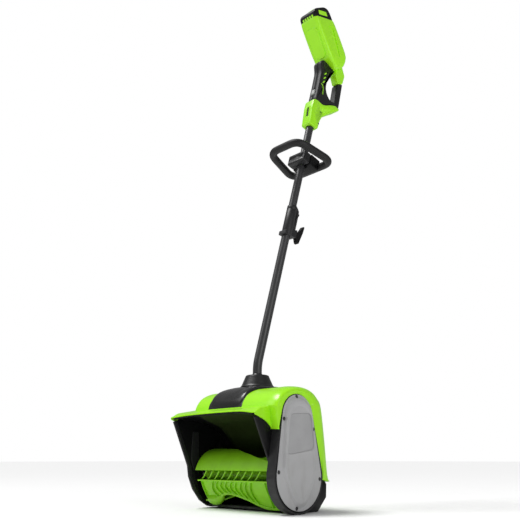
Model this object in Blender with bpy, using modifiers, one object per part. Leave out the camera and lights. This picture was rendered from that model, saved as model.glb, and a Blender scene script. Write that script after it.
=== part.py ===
"""Cordless snow blower, 300 mm clearing width: paddle rotor under a hood, belt drive at
one side, two-piece leaning pole, loop handle, D-shaped rear handle with battery pack.

Metres, +Z up. Snow enters from -Y, the belt drive is at +X, the pole leans back to +Y.
The origin is the centre of the flat underside of the rear skid.
"""
import math

import bmesh
import bpy
from mathutils import Matrix, Vector

# ---------------------------------------------------------------- driving dimensions
GAP = 0.0003               # play between neighbouring pieces
CLEAR_HALF = 0.1435        # half the inside width between the side plates
PLATE_T = 0.005            # side plate thickness
HOOD_T = 0.0027            # hood and visor side wall thickness
ROTOR_Y, ROTOR_Z = -0.066, 0.079
ROTOR_HALF = CLEAR_HALF - 0.0125
PADDLE_HALF = ROTOR_HALF - 0.004
DRUM_R = 0.078             # inside radius of the drum wall behind the rotor
DRUM_T = 0.003
SHAFT_R = 0.005
BEARING_R = 0.013
MOTOR_Y, MOTOR_Z = -0.066, 0.228
MOTOR_R = 0.020
MOTOR_SHAFT_R = 0.003
ROTOR_PULLEY_R = 0.044     # belt pitch line ratio (44 + 1.5) : (9.6 + 1.5) = 4.10
MOTOR_PULLEY_R = 0.0096
BELT_T = 0.0024
CASE_DEPTH = 0.024
COVER_T = 0.0055
COVER_LOW_R, COVER_TOP_R = 0.071, 0.049
COVER_TOP_Y, COVER_TOP_Z = -0.068, 0.206
SADDLE_HALF = 0.060
POLE_R = 0.0115
POLE_WALL = 0.0015
POLE_Y = -0.0285           # vertical foot of the pole
POLE_BEND_Z = 0.343
LEAN = math.radians(16.5)
BEND_R = 0.12
SPLIT_S = -0.344           # where the two pole tubes meet, along the leaning axis
SOCKET_Z = 1.09            # height of the pole axis where the rear handle starts
HEAD_TILT = math.radians(46.0)   # battery housing axis, leaning forward off the pole axis
HOUSING_HALF = 0.037
HOUSING_WALL = 0.003
GRIP_HALF = 0.0165
GUARD_HALF = 0.0125

PLATE_OUT = CLEAR_HALF + PLATE_T
HOOD_IN = PLATE_OUT + GAP
HOOD_OUT = HOOD_IN + HOOD_T
DOME_LEFT = 0.0235 - CLEAR_HALF    # the tall part of the hood stops short of the plain side
CASE_IN = PLATE_OUT + GAP
CASE_OUT = CASE_IN + CASE_DEPTH
COVER_IN = CASE_OUT + GAP
COVER_OUT = COVER_IN + COVER_T

# leaning axis: s runs up the pole, t runs square to it towards the rear
AXIS_P = Vector((0.0, math.sin(LEAN), math.cos(LEAN)))
AXIS_Q = Vector((0.0, math.cos(LEAN), -math.sin(LEAN)))
SOCKET_O = Vector((0.0, POLE_Y + (SOCKET_Z - POLE_BEND_Z) * math.tan(LEAN), SOCKET_Z))
AXIS_H = math.cos(HEAD_TILT) * AXIS_P - math.sin(HEAD_TILT) * AXIS_Q
AXIS_K = math.sin(HEAD_TILT) * AXIS_P + math.cos(HEAD_TILT) * AXIS_Q
HOUSING_O = SOCKET_O + 0.29 * AXIS_P + 0.010 * AXIS_Q
AXIS_X = Vector((1.0, 0.0, 0.0))


def basis(col_x, col_y, col_z, origin):
    m = Matrix((col_x, col_y, col_z)).transposed().to_4x4()
    m.translation = origin
    return m


SIDE = basis(Vector((0, 1, 0)), Vector((0, 0, 1)), AXIS_X, Vector((0, 0, 0)))   # (y, z, x)
POLE = basis(AXIS_Q, AXIS_P, AXIS_X, SOCKET_O)                                  # (t, s, x)
HEAD = basis(AXIS_K, AXIS_H, AXIS_X, HOUSING_O)                                 # (k, h, x)

for old in list(bpy.data.objects):
    bpy.data.objects.remove(old, do_unlink=True)
PARTS = bpy.data.collections.new("snow_blower")
CUTTERS = bpy.data.collections.new("cutters")
bpy.context.scene.collection.children.link(PARTS)
bpy.context.scene.collection.children.link(CUTTERS)


def material(name, rgb, rough, metal=0.0):
    m = bpy.data.materials.new(name)
    m.use_nodes = True
    shader = m.node_tree.nodes["Principled BSDF"]
    shader.inputs["Base Color"].default_value = (*rgb, 1.0)
    shader.inputs["Roughness"].default_value = rough
    shader.inputs["Metallic"].default_value = metal
    m.diffuse_color = (*rgb, 1.0)
    return m


LIME = (0.36, 0.74, 0.035)
BLACK = (0.02, 0.02, 0.021)
DARK = (0.05, 0.05, 0.052)
GREY = (0.40, 0.40, 0.40)
TUBE = (0.075, 0.075, 0.08)
STEEL = (0.55, 0.56, 0.57)
RUBBER = (0.018, 0.018, 0.018)


def place(name, mesh, rgb, rough, metal=0.0, origin=None, cutter=False):
    """Object from a world-space mesh, its origin moved to the given point."""
    if origin is not None:
        mesh.transform(Matrix.Translation(-Vector(origin)))
    ob = bpy.data.objects.new(name, mesh)
    if origin is not None:
        ob.location = origin
    if cutter:
        CUTTERS.objects.link(ob)
        ob.hide_render = True
        ob.display_type = "WIRE"
    else:
        ob.data.materials.append(material(name + "_mat", rgb, rough, metal))
        PARTS.objects.link(ob)
    return ob


def outline_mesh(points, z0, frame):
    """Flat face from an outline, in the plane z0 of a frame, facing along its third axis."""
    area = sum(a[0] * b[1] - b[0] * a[1] for a, b in zip(points, points[1:] + points[:1]))
    if area < 0:
        points = points[::-1]
    mesh = bpy.data.meshes.new("outline")
    mesh.from_pydata([frame @ Vector((a, b, z0)) for a, b in points], [], [range(len(points))])
    return mesh


def thicken(ob, amount):
    """Grow a flat face along its own normal into a closed plate."""
    mod = ob.modifiers.new("thickness", "SOLIDIFY")
    mod.thickness = amount
    mod.offset = 1.0
    return ob


def soften(ob, width, segments=2, angle=40.0):
    mod = ob.modifiers.new("edge", "BEVEL")
    mod.width = width
    mod.segments = segments
    mod.limit_method = "ANGLE"
    mod.angle_limit = math.radians(angle)
    return ob


def prism(name, points, z0, z1, frame, rgb=BLACK, rough=0.5, metal=0.0, origin=None,
          edge=0.0, segments=2, cutter=False, angle=40.0):
    ob = place(name, outline_mesh(points, z0, frame), rgb, rough, metal, origin, cutter)
    thicken(ob, z1 - z0)
    if edge:
        soften(ob, edge, segments, angle)
    return ob


def rod_mesh(radius, start, end, segments, end_radius=None):
    start, end = Vector(start), Vector(end)
    mesh = bpy.data.meshes.new("rod")
    bm = bmesh.new()
    bmesh.ops.create_cone(bm, cap_ends=True, segments=segments, radius1=radius,
                          radius2=radius if end_radius is None else end_radius,
                          depth=(end - start).length)
    bm.to_mesh(mesh)
    bm.free()
    turn = Vector((0, 0, 1)).rotation_difference((end - start).normalized()).to_matrix().to_4x4()
    mesh.transform(Matrix.Translation((start + end) / 2) @ turn)
    return mesh


def rod(name, radius, start, end, rgb=STEEL, rough=0.35, metal=1.0, segments=20, origin=None,
        cutter=False, end_radius=None):
    mesh = rod_mesh(radius, start, end, segments, end_radius)
    return place(name, mesh, rgb, rough, metal, origin, cutter)


def box(name, lo, hi, frame, rgb=BLACK, rough=0.5, metal=0.0, origin=None, edge=0.0, cutter=False):
    points = [(lo[0], lo[1]), (hi[0], lo[1]), (hi[0], hi[1]), (lo[0], hi[1])]
    return prism(name, points, lo[2], hi[2], frame, rgb, rough, metal, origin, edge, 2, cutter)


def ring(name, profile, centre, axis, steps=28, rgb=STEEL, rough=0.35, metal=1.0):
    """Turned body: a closed (radius, height) section swept about an axis."""
    mesh = bpy.data.meshes.new(name)
    count = len(profile)
    area = sum(a[0] * b[1] - b[0] * a[1] for a, b in zip(profile, profile[1:] + profile[:1]))
    if area > 0:
        profile = profile[::-1]
    mesh.from_pydata([(r, 0.0, h) for r, h in profile], [(i, (i + 1) % count) for i in range(count)], [])
    ob = place(name, mesh, rgb, rough, metal)
    ob.location = centre
    ob.rotation_euler = Vector((0, 0, 1)).rotation_difference(Vector(axis)).to_euler()
    mod = ob.modifiers.new("turn", "SCREW")
    mod.steps = mod.render_steps = steps
    mod.use_merge_vertices = True
    mod.merge_threshold = 0.00005
    return ob


def combine(ob, other, operation="DIFFERENCE"):
    mod = ob.modifiers.new(operation.lower(), "BOOLEAN")
    mod.operation = operation
    mod.solver = "EXACT"
    mod.object = other
    return ob


def hole(ob, radius, start, end, segments=20):
    tool = rod(ob.name + "_hole", radius, start, end, segments=segments, cutter=True)
    return combine(ob, tool)


def pocket(ob, lo, hi, frame):
    return combine(ob, box(ob.name + "_pocket", lo, hi, frame, cutter=True))


def join(ob, other):
    return combine(ob, other, "UNION")


def at(frame, a, b, c=0.0):
    return frame @ Vector((a, b, c))


def arc(cy, cz, r, start, end, count):
    """Outline points round a centre, angles in degrees measured from +Y towards +Z."""
    out = []
    for i in range(count + 1):
        a = math.radians(start + (end - start) * i / count)
        out.append((cy + r * math.cos(a), cz + r * math.sin(a)))
    return out


def pear(grow, grow_top=None):
    """Outline of the drive cover, grown outwards by the given amounts."""
    grow_top = grow if grow_top is None else grow_top
    low = arc(ROTOR_Y, 0.0775, COVER_LOW_R + grow, 172, 368, 18)
    top = arc(COVER_TOP_Y, COVER_TOP_Z, COVER_TOP_R + grow_top, 12, 168, 12)
    return low + top


def offset_line(points, amount):
    """Copy of an open line, shifted to its left by the given amount."""
    out = []
    for i, p in enumerate(points):
        a = Vector(points[max(i - 1, 0)])
        b = Vector(points[min(i + 1, len(points) - 1)])
        d = (b - a).normalized()
        out.append((p[0] - d.y * amount, p[1] + d.x * amount))
    return out


# ---------------------------------------------------------------- rear skid and scraper
def build_base():
    section = [(-0.0225, 0.0), (0.0225, 0.0), (0.053, 0.0305), (0.057, 0.063), (0.047, 0.063),
               (0.043, 0.037), (0.018, 0.0095), (-0.018, 0.0095), (-0.0225, 0.007)]
    half = CLEAR_HALF - GAP
    prism("rear_skid", section, -half, half, SIDE, BLACK, 0.55)
    blade = [(-0.064, 0.004), (-0.0229, 0.004), (-0.0229, 0.0086), (-0.060, 0.0086)]
    prism("scraper_bar", blade, -half, half, SIDE, DARK, 0.45)


# ---------------------------------------------------------------- drum wall and roof
ROOF = [(-0.176, 0.203), (-0.140, 0.206), (-0.100, 0.203), (-0.062, 0.196), (-0.034, 0.183),
        (-0.012, 0.162), (0.004, 0.136), (0.0105, 0.108)]


def build_drum_wall():
    line = ROOF + arc(ROTOR_Y, ROTOR_Z, DRUM_R, 0, -56, 8)
    section = line + offset_line(line, DRUM_T)[::-1]
    half = CLEAR_HALF - GAP
    prism("drum_wall", section, -half, half, SIDE, BLACK, 0.35)


# ---------------------------------------------------------------- side plates
PLATE_FOOT = [(-0.176, 0.203), (-0.128, 0.099), (-0.124, 0.074), (-0.110, 0.044), (-0.088, 0.018),
              (-0.064, 0.004), (-0.048, 0.001), (0.021, 0.001), (0.051, 0.031), (0.053, 0.060),
              (0.047, 0.066), (0.0455, 0.080), (0.040, 0.126)]
PLATE_TOP_LEFT = [(0.036, 0.160), (0.024, 0.204), (0.004, 0.222), (-0.040, 0.2275), (-0.100, 0.2255),
                  (-0.130, 0.2180), (-0.160, 0.2085)]
PLATE_TOP_RIGHT = [(0.036, 0.160), (0.024, 0.215), (0.004, 0.240), (-0.030, 0.252), (-0.100, 0.252),
                   (-0.122, 0.236), (-0.130, 0.2180), (-0.160, 0.2085)]


def build_side_plate(name, side):
    x0, x1 = (CLEAR_HALF, PLATE_OUT) if side > 0 else (-PLATE_OUT, -CLEAR_HALF)
    top = PLATE_TOP_RIGHT if side > 0 else PLATE_TOP_LEFT
    plate = prism(name, PLATE_FOOT + top, x0, x1, SIDE, DARK, 0.5)
    hole(plate, BEARING_R + GAP, (x0 - 0.01, ROTOR_Y, ROTOR_Z), (x1 + 0.01, ROTOR_Y, ROTOR_Z), 28)
    if side > 0:
        hole(plate, 0.0065, (x0 - 0.01, MOTOR_Y, MOTOR_Z), (x1 + 0.01, MOTOR_Y, MOTOR_Z))
    return plate


def build_bearing(name, side):
    mid = side * (CLEAR_HALF + PLATE_T / 2)
    half = PLATE_T / 2 - 0.0001
    inner = SHAFT_R + GAP
    section = [(BEARING_R, -half), (BEARING_R, half), (0.0105, half), (0.0105, half - 0.0004),
               (0.0078, half - 0.0004), (0.0078, half), (inner, half), (inner, -half)]
    ring(name, section, (mid, ROTOR_Y, ROTOR_Z), AXIS_X, 28, STEEL, 0.3, 1.0)


# ---------------------------------------------------------------- hood and visor
DOME = [(-0.1366, 0.2283), (-0.130, 0.2440), (-0.1155, 0.2600), (-0.092, 0.2710), (-0.066, 0.2760),
        (-0.030, 0.2760), (0.000, 0.2690), (0.020, 0.2550), (0.034, 0.2320), (0.044, 0.1600),
        (0.051, 0.0790), (0.059, 0.0665)]
SHOULDER = [(-0.1366, 0.2283), (-0.100, 0.2345), (-0.040, 0.2365), (0.008, 0.2310), (0.0305, 0.2080),
            (0.0432, 0.1600), (0.0502, 0.0790), (0.0560, 0.0665)]
HOOD_FOOT = [(0.0560, 0.0640), (0.0440, 0.0800), (0.034, 0.115), (0.000, 0.138), (-0.060, 0.158),
             (-0.1290, 0.1790)]


POD = [(-0.1296, 0.2235), (-0.1250, 0.2370), (-0.1135, 0.2490), (-0.0935, 0.2600), (-0.0720, 0.2655),
       (-0.0500, 0.2635), (-0.0290, 0.2550), (-0.0140, 0.2420), (-0.0035, 0.2240), (0.0045, 0.1500),
       (0.0135, 0.0790), (0.0210, 0.0680)]
POD_FOOT = [(0.0180, 0.0655), (0.0060, 0.0800), (0.0020, 0.1150), (-0.0200, 0.1380), (-0.0700, 0.1580),
            (-0.1280, 0.1770)]
TURN_IN = 0.034            # how far from its end the hood starts to close in round the belt case


def stack(name, sections, rgb, rough, cutter=False):
    """Solid through outlines that all have the same number of points; sections are (x, outline)."""
    count = len(sections[0][1])
    verts = [Vector((x, y, z)) for x, line in sections for y, z in line]
    faces = [tuple(range(count)), tuple(range(len(verts) - count, len(verts)))]
    for k in range(len(sections) - 1):
        for i in range(count):
            j = (i + 1) % count
            faces.append((k * count + i, k * count + j, (k + 1) * count + j, (k + 1) * count + i))
    mesh = bpy.data.meshes.new(name)
    mesh.from_pydata(verts, [], faces)
    bm = bmesh.new()
    bm.from_mesh(mesh)
    bmesh.ops.triangulate(bm, faces=bm.faces[:])
    bmesh.ops.recalc_face_normals(bm, faces=bm.faces[:])
    bm.to_mesh(mesh)
    bm.free()
    return place(name, mesh, rgb, rough, 0.0, None, cutter)


def between(a, b, t):
    return [(p[0] + (q[0] - p[0]) * t, p[1] + (q[1] - p[1]) * t) for p, q in zip(a, b)]


def hood_line(x, wall=0.0, closed=True):
    """Outline of the tall dome at x: rounded at the plain side, closing in round the belt case."""
    weights = [1.0] * 9 + [0.4, 0.0, 0.0]
    dome, pod = offset_line(DOME, -wall), offset_line(POD, -wall)
    foot, pod_foot = HOOD_FOOT, POD_FOOT
    if wall:
        front = (-0.1262, 0.1800) if closed else (-0.1500, 0.2215)
        dome, pod = [front] + dome[:-1], [(-0.1252, 0.1800)] + pod[:-1]
        low = (-0.1262, 0.1000) if closed else (-0.1500, 0.1000)
        foot = pod_foot = [(0.0500, 0.0400), (0.0000, 0.0400), (-0.0600, 0.0400), low]
        weights = [0.0] + weights
    radius = 0.014 - wall
    reach = DOME_LEFT + wall + radius - x
    if reach > 0:
        inner = offset_line(dome, -radius * (1 - math.sqrt(max(0.0, 1 - (reach / radius) ** 2))))
        return [between([p], [q], w)[0] for p, q, w in zip(dome, inner, weights)] + foot
    reach = max(0.0, (x - CASE_OUT + TURN_IN) / TURN_IN)
    return between(dome + foot, pod + pod_foot, 1 - math.sqrt(max(0.0, 1 - reach * reach)))


def build_hood():
    """One moulding: tall dome, low shoulder at the plain side, pod round the belt case."""
    low = offset_line(SHOULDER, -0.003)
    open_foot = [(0.050, 0.040), (-0.020, 0.040), (-0.150, 0.100)]
    left = [DOME_LEFT + 0.014 * f for f in (0.0, 0.08, 0.3, 0.6, 1.0)]
    right = [CASE_OUT - TURN_IN * f for f in (1.0, 0.7, 0.42, 0.2, 0.06, 0.0)]
    hood = stack("hood_shell", [(x, hood_line(x)) for x in left + right], LIME, 0.3)
    join(hood, prism("hood_shoulder", SHOULDER + HOOD_FOOT, -HOOD_OUT, DOME_LEFT + 0.004, SIDE,
                     cutter=True, edge=0.002, angle=60))
    wall, split = 0.003, PLATE_OUT + 0.0012
    left = [DOME_LEFT + wall + 0.011 * f for f in (0.0, 0.08, 0.3, 0.6, 1.0)]
    room = [(x, hood_line(x, wall, False)) for x in left + [CASE_OUT - TURN_IN, split]]
    combine(hood, stack("hood_room", room, LIME, 0.3, True))
    pod = [split - 0.0012] + [CASE_OUT - TURN_IN * f for f in (0.55, 0.42, 0.2)] + [CASE_OUT - HOOD_T]
    combine(hood, stack("pod_room", [(x, hood_line(x, wall + 0.0008)) for x in pod], LIME, 0.3, True))
    combine(hood, prism("shoulder_room", [(-0.150, 0.2215)] + low[:-1] + open_foot, -HOOD_IN,
                        DOME_LEFT + 0.010, SIDE, cutter=True))
    combine(hood, prism("pod_mouth", pear(0.0069, 0.0016), CASE_OUT - 0.016, CASE_OUT + 0.01, SIDE,
                        cutter=True))
    hole(hood, POLE_R + 0.0008, (0, POLE_Y, 0.25), (0, POLE_Y, 0.30), 28)


def build_visor():
    outer = [(-0.180, 0.2065), (-0.1372, 0.1935), (-0.1372, 0.2275), (-0.180, 0.2155)]
    visor = prism("visor", outer, -HOOD_OUT, HOOD_OUT, SIDE, LIME, 0.3)
    under = [(-0.190, 0.180), (-0.190, 0.2074), (-0.130, 0.2236), (-0.120, 0.180)]
    combine(visor, prism("visor_core", under, -HOOD_IN, HOOD_IN, SIDE, cutter=True))


def build_saddle():
    top = [(-0.1362, 0.2312), (-0.1320, 0.2500), (-0.1195, 0.2660), (-0.1000, 0.2775), (-0.0750, 0.2845),
           (-0.0600, 0.2860), (0.0060, 0.2860), (0.0260, 0.2715), (0.0430, 0.2380), (0.0460, 0.2050)]
    under = offset_line(DOME[:10], 0.0004)
    under = [(-0.1353, 0.2330)] + under[1:9] + [(0.0394, 0.2000)]
    saddle = prism("saddle_cover", top + under[::-1], -SADDLE_HALF, SADDLE_HALF, SIDE, DARK, 0.4)
    hole(saddle, POLE_R + 0.0008, (0, POLE_Y, 0.24), (0, POLE_Y, 0.32), 28)


def build_boot():
    bore = POLE_R + GAP
    section = [(bore, 0.0), (0.042, 0.0), (0.041, 0.006), (0.036, 0.015), (0.029, 0.023),
               (0.0255, 0.028), (0.0225, 0.030), (bore, 0.031)]
    ring("pole_boot", section, (0, POLE_Y, 0.2863), (0, 0, 1), 32, RUBBER, 0.6, 0.0)


# ---------------------------------------------------------------- belt drive
def build_case():
    case = prism("belt_case", pear(0.0065, 0.0012), CASE_IN, CASE_OUT, SIDE, BLACK, 0.45)
    cavity = prism("case_cavity", pear(0.0025, -0.0028), CASE_IN + 0.003, CASE_OUT + 0.01, SIDE, cutter=True)
    combine(case, cavity)
    for i, (y, z) in enumerate(SCREWS):
        boss = rod("case_boss_%d" % i, 0.0055, (CASE_IN + 0.002, y, z), (CASE_OUT - 0.0002, y, z),
                   segments=16, cutter=True)
        join(case, boss)
    for y, z in SCREWS:
        hole(case, 0.0022, (CASE_IN + 0.008, y, z), (CASE_OUT + 0.01, y, z), 12)
    hole(case, 0.0075, (CASE_IN - 0.01, ROTOR_Y, ROTOR_Z), (CASE_IN + 0.01, ROTOR_Y, ROTOR_Z))
    hole(case, 0.0065, (CASE_IN - 0.01, MOTOR_Y, MOTOR_Z), (CASE_IN + 0.01, MOTOR_Y, MOTOR_Z))


SCREWS = [(-0.072, 0.2500), (-0.1132, 0.2000), (-0.0175, 0.1800), (-0.1310, 0.0880),
          (0.0000, 0.0720), (-0.0770, 0.0130)]


def build_cover():
    cover = prism("drive_cover", pear(0.0), COVER_IN, COVER_OUT, SIDE, GREY, 0.45, edge=0.0012)
    raised = prism("cover_plateau", pear(-0.0095), COVER_OUT - 0.002, COVER_OUT + 0.0022, SIDE, cutter=True)
    soften(raised, 0.0015)
    join(cover, raised)
    panel = prism("cover_panel", pear(-0.0150), COVER_OUT + 0.0008, COVER_OUT + 0.01, SIDE, cutter=True)
    combine(cover, panel)
    for y, z in SCREWS:
        hole(cover, 0.0022, (COVER_IN - 0.01, y, z), (COVER_OUT + 0.01, y, z), 12)
        hole(cover, 0.0046, (COVER_OUT - 0.0016, y, z), (COVER_OUT + 0.01, y, z), 16)


def screw(name, tip, head, shank_r, head_r, head_h, segments=12):
    """Pan-head screw from its tip to the top of its head."""
    tip, head = Vector(tip), Vector(head)
    length = (head - tip).length
    section = [(0.0, 0.0), (shank_r, 0.0), (shank_r, length - head_h), (head_r, length - head_h),
               (head_r, length - head_h * 0.3), (head_r * 0.75, length), (0.0, length)]
    section = section[::-1]
    mesh = bpy.data.meshes.new(name)
    mesh.from_pydata([(r, 0.0, h) for r, h in section], [(i, i + 1) for i in range(len(section) - 1)], [])
    ob = place(name, mesh, STEEL, 0.35, 1.0)
    ob.location = tip
    ob.rotation_euler = Vector((0, 0, 1)).rotation_difference((head - tip).normalized()).to_euler()
    mod = ob.modifiers.new("turn", "SCREW")
    mod.steps = mod.render_steps = segments
    mod.use_merge_vertices = True
    mod.merge_threshold = 0.00005
    return ob


def build_cover_screws():
    for i, (y, z) in enumerate(SCREWS):
        screw("cover_screw_%d" % (i + 1), (CASE_IN + 0.010, y, z), (COVER_OUT + 0.0006, y, z),
              0.0018, 0.0040, 0.0019)


BELT_X0, BELT_X1 = CASE_IN + 0.0075, CASE_IN + 0.0145


def build_pulleys():
    mid = (BELT_X0 + BELT_X1) / 2
    wide = (BELT_X1 - BELT_X0) / 2 + 0.0014
    body = (BELT_X1 - BELT_X0) / 2 + 0.0004
    bore = SHAFT_R + GAP
    r = ROTOR_PULLEY_R
    ring("rotor_pulley", [(bore, -wide), (0.011, -wide), (0.011, -0.002), (r - 0.006, -0.002),
                          (r - 0.006, -wide), (r + 0.001, -wide), (r + 0.001, -body), (r, -body),
                          (r, body), (r + 0.001, body), (r + 0.001, wide), (r - 0.006, wide),
                          (r - 0.006, 0.002), (0.011, 0.002), (0.011, wide), (bore, wide)],
         (mid, ROTOR_Y, ROTOR_Z), AXIS_X, 40, GREY, 0.4, 0.0)
    bore = MOTOR_SHAFT_R + GAP
    r = MOTOR_PULLEY_R
    ring("motor_pulley", [(bore, -wide), (r + 0.001, -wide), (r + 0.001, -body), (r, -body), (r, body),
                          (r + 0.001, body), (r + 0.001, wide), (bore, wide)],
         (mid, MOTOR_Y, MOTOR_Z), AXIS_X, 20, STEEL, 0.35, 1.0)


def build_belt():
    """Flat ribbed belt wrapped round both pulleys."""
    def loop(grow):
        r1, r2 = ROTOR_PULLEY_R + grow, MOTOR_PULLEY_R + grow
        gap_angle = math.degrees(math.asin((r1 - r2) / (MOTOR_Z - ROTOR_Z)))
        low = arc(ROTOR_Y, ROTOR_Z, r1, 180 - gap_angle, 360 + gap_angle, 28)
        top = arc(MOTOR_Y, MOTOR_Z, r2, gap_angle, 180 - gap_angle, 10)
        return low + top
    belt = prism("drive_belt", loop(GAP + BELT_T), BELT_X0, BELT_X1, SIDE, RUBBER, 0.7)
    inside = prism("belt_inside", loop(GAP), BELT_X0 - 0.01, BELT_X1 + 0.01, SIDE, cutter=True)
    combine(belt, inside)


def build_motor():
    front = CLEAR_HALF - 0.0037
    can = rod("motor", MOTOR_R, (front - 0.072, MOTOR_Y, MOTOR_Z), (front, MOTOR_Y, MOTOR_Z),
              STEEL, 0.4, 1.0, 32)
    soften(can, 0.0015)
    hole(can, MOTOR_SHAFT_R + GAP, (front - 0.020, MOTOR_Y, MOTOR_Z), (front + 0.01, MOTOR_Y, MOTOR_Z))
    bracket = box("motor_bracket", (MOTOR_Y - 0.024, MOTOR_Z - 0.022, front + GAP),
                  (MOTOR_Y + 0.024, MOTOR_Z + 0.016, CLEAR_HALF - GAP), SIDE, STEEL, 0.4, 1.0)
    hole(bracket, 0.0065, (front - 0.01, MOTOR_Y, MOTOR_Z), (CLEAR_HALF + 0.01, MOTOR_Y, MOTOR_Z))
    rod("motor_shaft", MOTOR_SHAFT_R, (front - 0.019, MOTOR_Y, MOTOR_Z),
        (BELT_X1 + 0.003, MOTOR_Y, MOTOR_Z), STEEL, 0.25, 1.0, 16, origin=(front, MOTOR_Y, MOTOR_Z))


# ---------------------------------------------------------------- rotor
PADDLE_TIP = 172.0         # paddle arc, degrees round its own centre
# places along the paddle from -1 to 1, with the angle or the height of its edge there
PADDLE_WRAP = [(-1.0, 83), (-0.575, 97), (-0.236, 102), (0.102, 119), (0.394, 131), (0.669, 142),
               (1.0, 151)]
TAIL_WRAP = [(-1.0, 83), (-0.709, 86), (-0.512, 118), (-0.236, 131), (0.157, 119), (0.591, 100),
             (1.0, 92)]
WAVE = [(-1.0, 0.0200), (-0.787, 0.0130), (-0.472, 0.0340), (-0.213, 0.0365), (0.118, 0.0275),
        (0.394, 0.0160), (0.630, 0.0090), (1.0, 0.0095)]
FACE = [(-0.0985, 0.0665), (-0.0920, 0.0510), (-0.0830, 0.0360), (-0.0750, 0.0235), (-0.0680, 0.0080)]


def paddle_line(wrap, grow=0.0):
    out = []
    for i in range(7):
        angle = PADDLE_TIP + (wrap - PADDLE_TIP) * i / 6
        r = 0.0575 + 0.003 * ((angle - 127) / 45) ** 2 + grow
        out.append((-0.058 + r * math.cos(math.radians(angle)), 0.081 + r * math.sin(math.radians(angle))))
    return out


def face_line(low, grow=0.0):
    """Ribbed face from the bar down to the given height."""
    out = []
    for i in range(6):
        z = FACE[0][1] + (low - FACE[0][1]) * i / 5
        for a, b in zip(FACE, FACE[1:]):
            if b[1] <= z <= a[1]:
                t = (a[1] - z) / (a[1] - b[1])
                out.append((a[0] + (b[0] - a[0]) * t + grow, z))
                break
    return out


def half_turn(points, size=1.0):
    return [(ROTOR_Y - size * (y - ROTOR_Y), ROTOR_Z - size * (z - ROTOR_Z)) for y, z in points]


def build_rotor():
    axis = (0, ROTOR_Y, ROTOR_Z)
    rotor = rod("rotor", 0.014, (-ROTOR_HALF, ROTOR_Y, ROTOR_Z), (ROTOR_HALF, ROTOR_Y, ROTOR_Z),
                LIME, 0.35, 0.0, 24, origin=axis)
    half = PADDLE_HALF
    top = [(f * half, paddle_line(w) + paddle_line(w, -0.0035)[::-1]) for f, w in PADDLE_WRAP]
    tail = [(f * half, half_turn(paddle_line(w) + paddle_line(w, -0.0035)[::-1])) for f, w in TAIL_WRAP]
    face = [(f * half, face_line(z) + face_line(z, 0.0045)[::-1]) for f, z in WAVE]
    back = [(-x, half_turn(line, 0.92)) for x, line in reversed(face)]
    for name, sections in (("top", top), ("tail", tail), ("face", face), ("back", back)):
        join(rotor, stack("rotor_" + name, sections, LIME, 0.35, True))
    web = [(-0.1165, 0.0905), (-0.0985, 0.0675), (-0.0895, 0.0510), (-0.0815, 0.0375), (-0.064, 0.0680),
           (-0.060, 0.0900), (-0.1040, 0.1040)]
    bar = [(-0.1020, 0.0640), (-0.0960, 0.0640), (-0.0960, 0.0682), (-0.1020, 0.0682)]
    for k in range(5):
        x = (k - 2) * (half - 0.0022) / 2
        join(rotor, prism("rotor_web_%d" % k, web, x - 0.0014, x + 0.0014, SIDE, cutter=True))
        join(rotor, prism("rotor_back_web_%d" % k, half_turn(web), x - 0.0014, x + 0.0014, SIDE,
                          cutter=True))
    join(rotor, prism("rotor_bar", bar, 0.0004 - half, half - 0.0004, SIDE, cutter=True))
    hole(rotor, SHAFT_R + GAP, (-0.2, ROTOR_Y, ROTOR_Z), (0.2, ROTOR_Y, ROTOR_Z), 20)
    rod("rotor_shaft", SHAFT_R, (-PLATE_OUT - 0.004, ROTOR_Y, ROTOR_Z),
        (BELT_X1 + 0.003, ROTOR_Y, ROTOR_Z), STEEL, 0.25, 1.0, 20, origin=axis)


def build_end_cap():
    """Shallow cap over the shaft end on the plain side."""
    x = -PLATE_OUT - GAP
    cap = rod("end_cap", 0.032, (x, ROTOR_Y, ROTOR_Z), (x - 0.0085, ROTOR_Y, ROTOR_Z), DARK, 0.5, 0.0,
              32, end_radius=0.029)
    hole(cap, 0.012, (x + 0.01, ROTOR_Y, ROTOR_Z), (x - 0.006, ROTOR_Y, ROTOR_Z))


# ---------------------------------------------------------------- pole
def build_pole_socket():
    socket = box("pole_socket", (POLE_Y - 0.022, 0.212, -0.030), (POLE_Y + 0.022, 0.266, 0.030), SIDE,
                 BLACK, 0.5)
    hole(socket, POLE_R + GAP, (0, POLE_Y, 0.2165), (0, POLE_Y, 0.30), 28)


def bent_line(start_z, end_s, radius):
    """Closed round bar along the bent foot of the pole, as a mesh."""
    reach = BEND_R * math.tan(LEAN / 2)
    points = [Vector((0, POLE_Y, start_z))]
    centre = Vector((0, POLE_Y + BEND_R, POLE_BEND_Z - reach))
    for i in range(7):
        a = LEAN * i / 6
        points.append(centre + Vector((0, -BEND_R * math.cos(a), BEND_R * math.sin(a))))
    points.append(at(POLE, 0.0, end_s))
    curve = bpy.data.curves.new("bent", "CURVE")
    curve.dimensions = "3D"
    curve.bevel_depth = radius
    curve.bevel_resolution = 5
    curve.use_fill_caps = True
    line = curve.splines.new("POLY")
    line.points.add(len(points) - 1)
    for knot, p in zip(line.points, points):
        knot.co = (*p, 1.0)
    holder = bpy.data.objects.new("bent", curve)
    CUTTERS.objects.link(holder)
    bpy.context.view_layer.update()
    mesh = bpy.data.meshes.new_from_object(holder)
    bpy.data.objects.remove(holder, do_unlink=True)
    bm = bmesh.new()
    bm.from_mesh(mesh)
    bmesh.ops.remove_doubles(bm, verts=bm.verts[:], dist=1e-6)
    bmesh.ops.recalc_face_normals(bm, faces=bm.faces[:])
    bm.to_mesh(mesh)
    bm.free()
    return mesh


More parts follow.
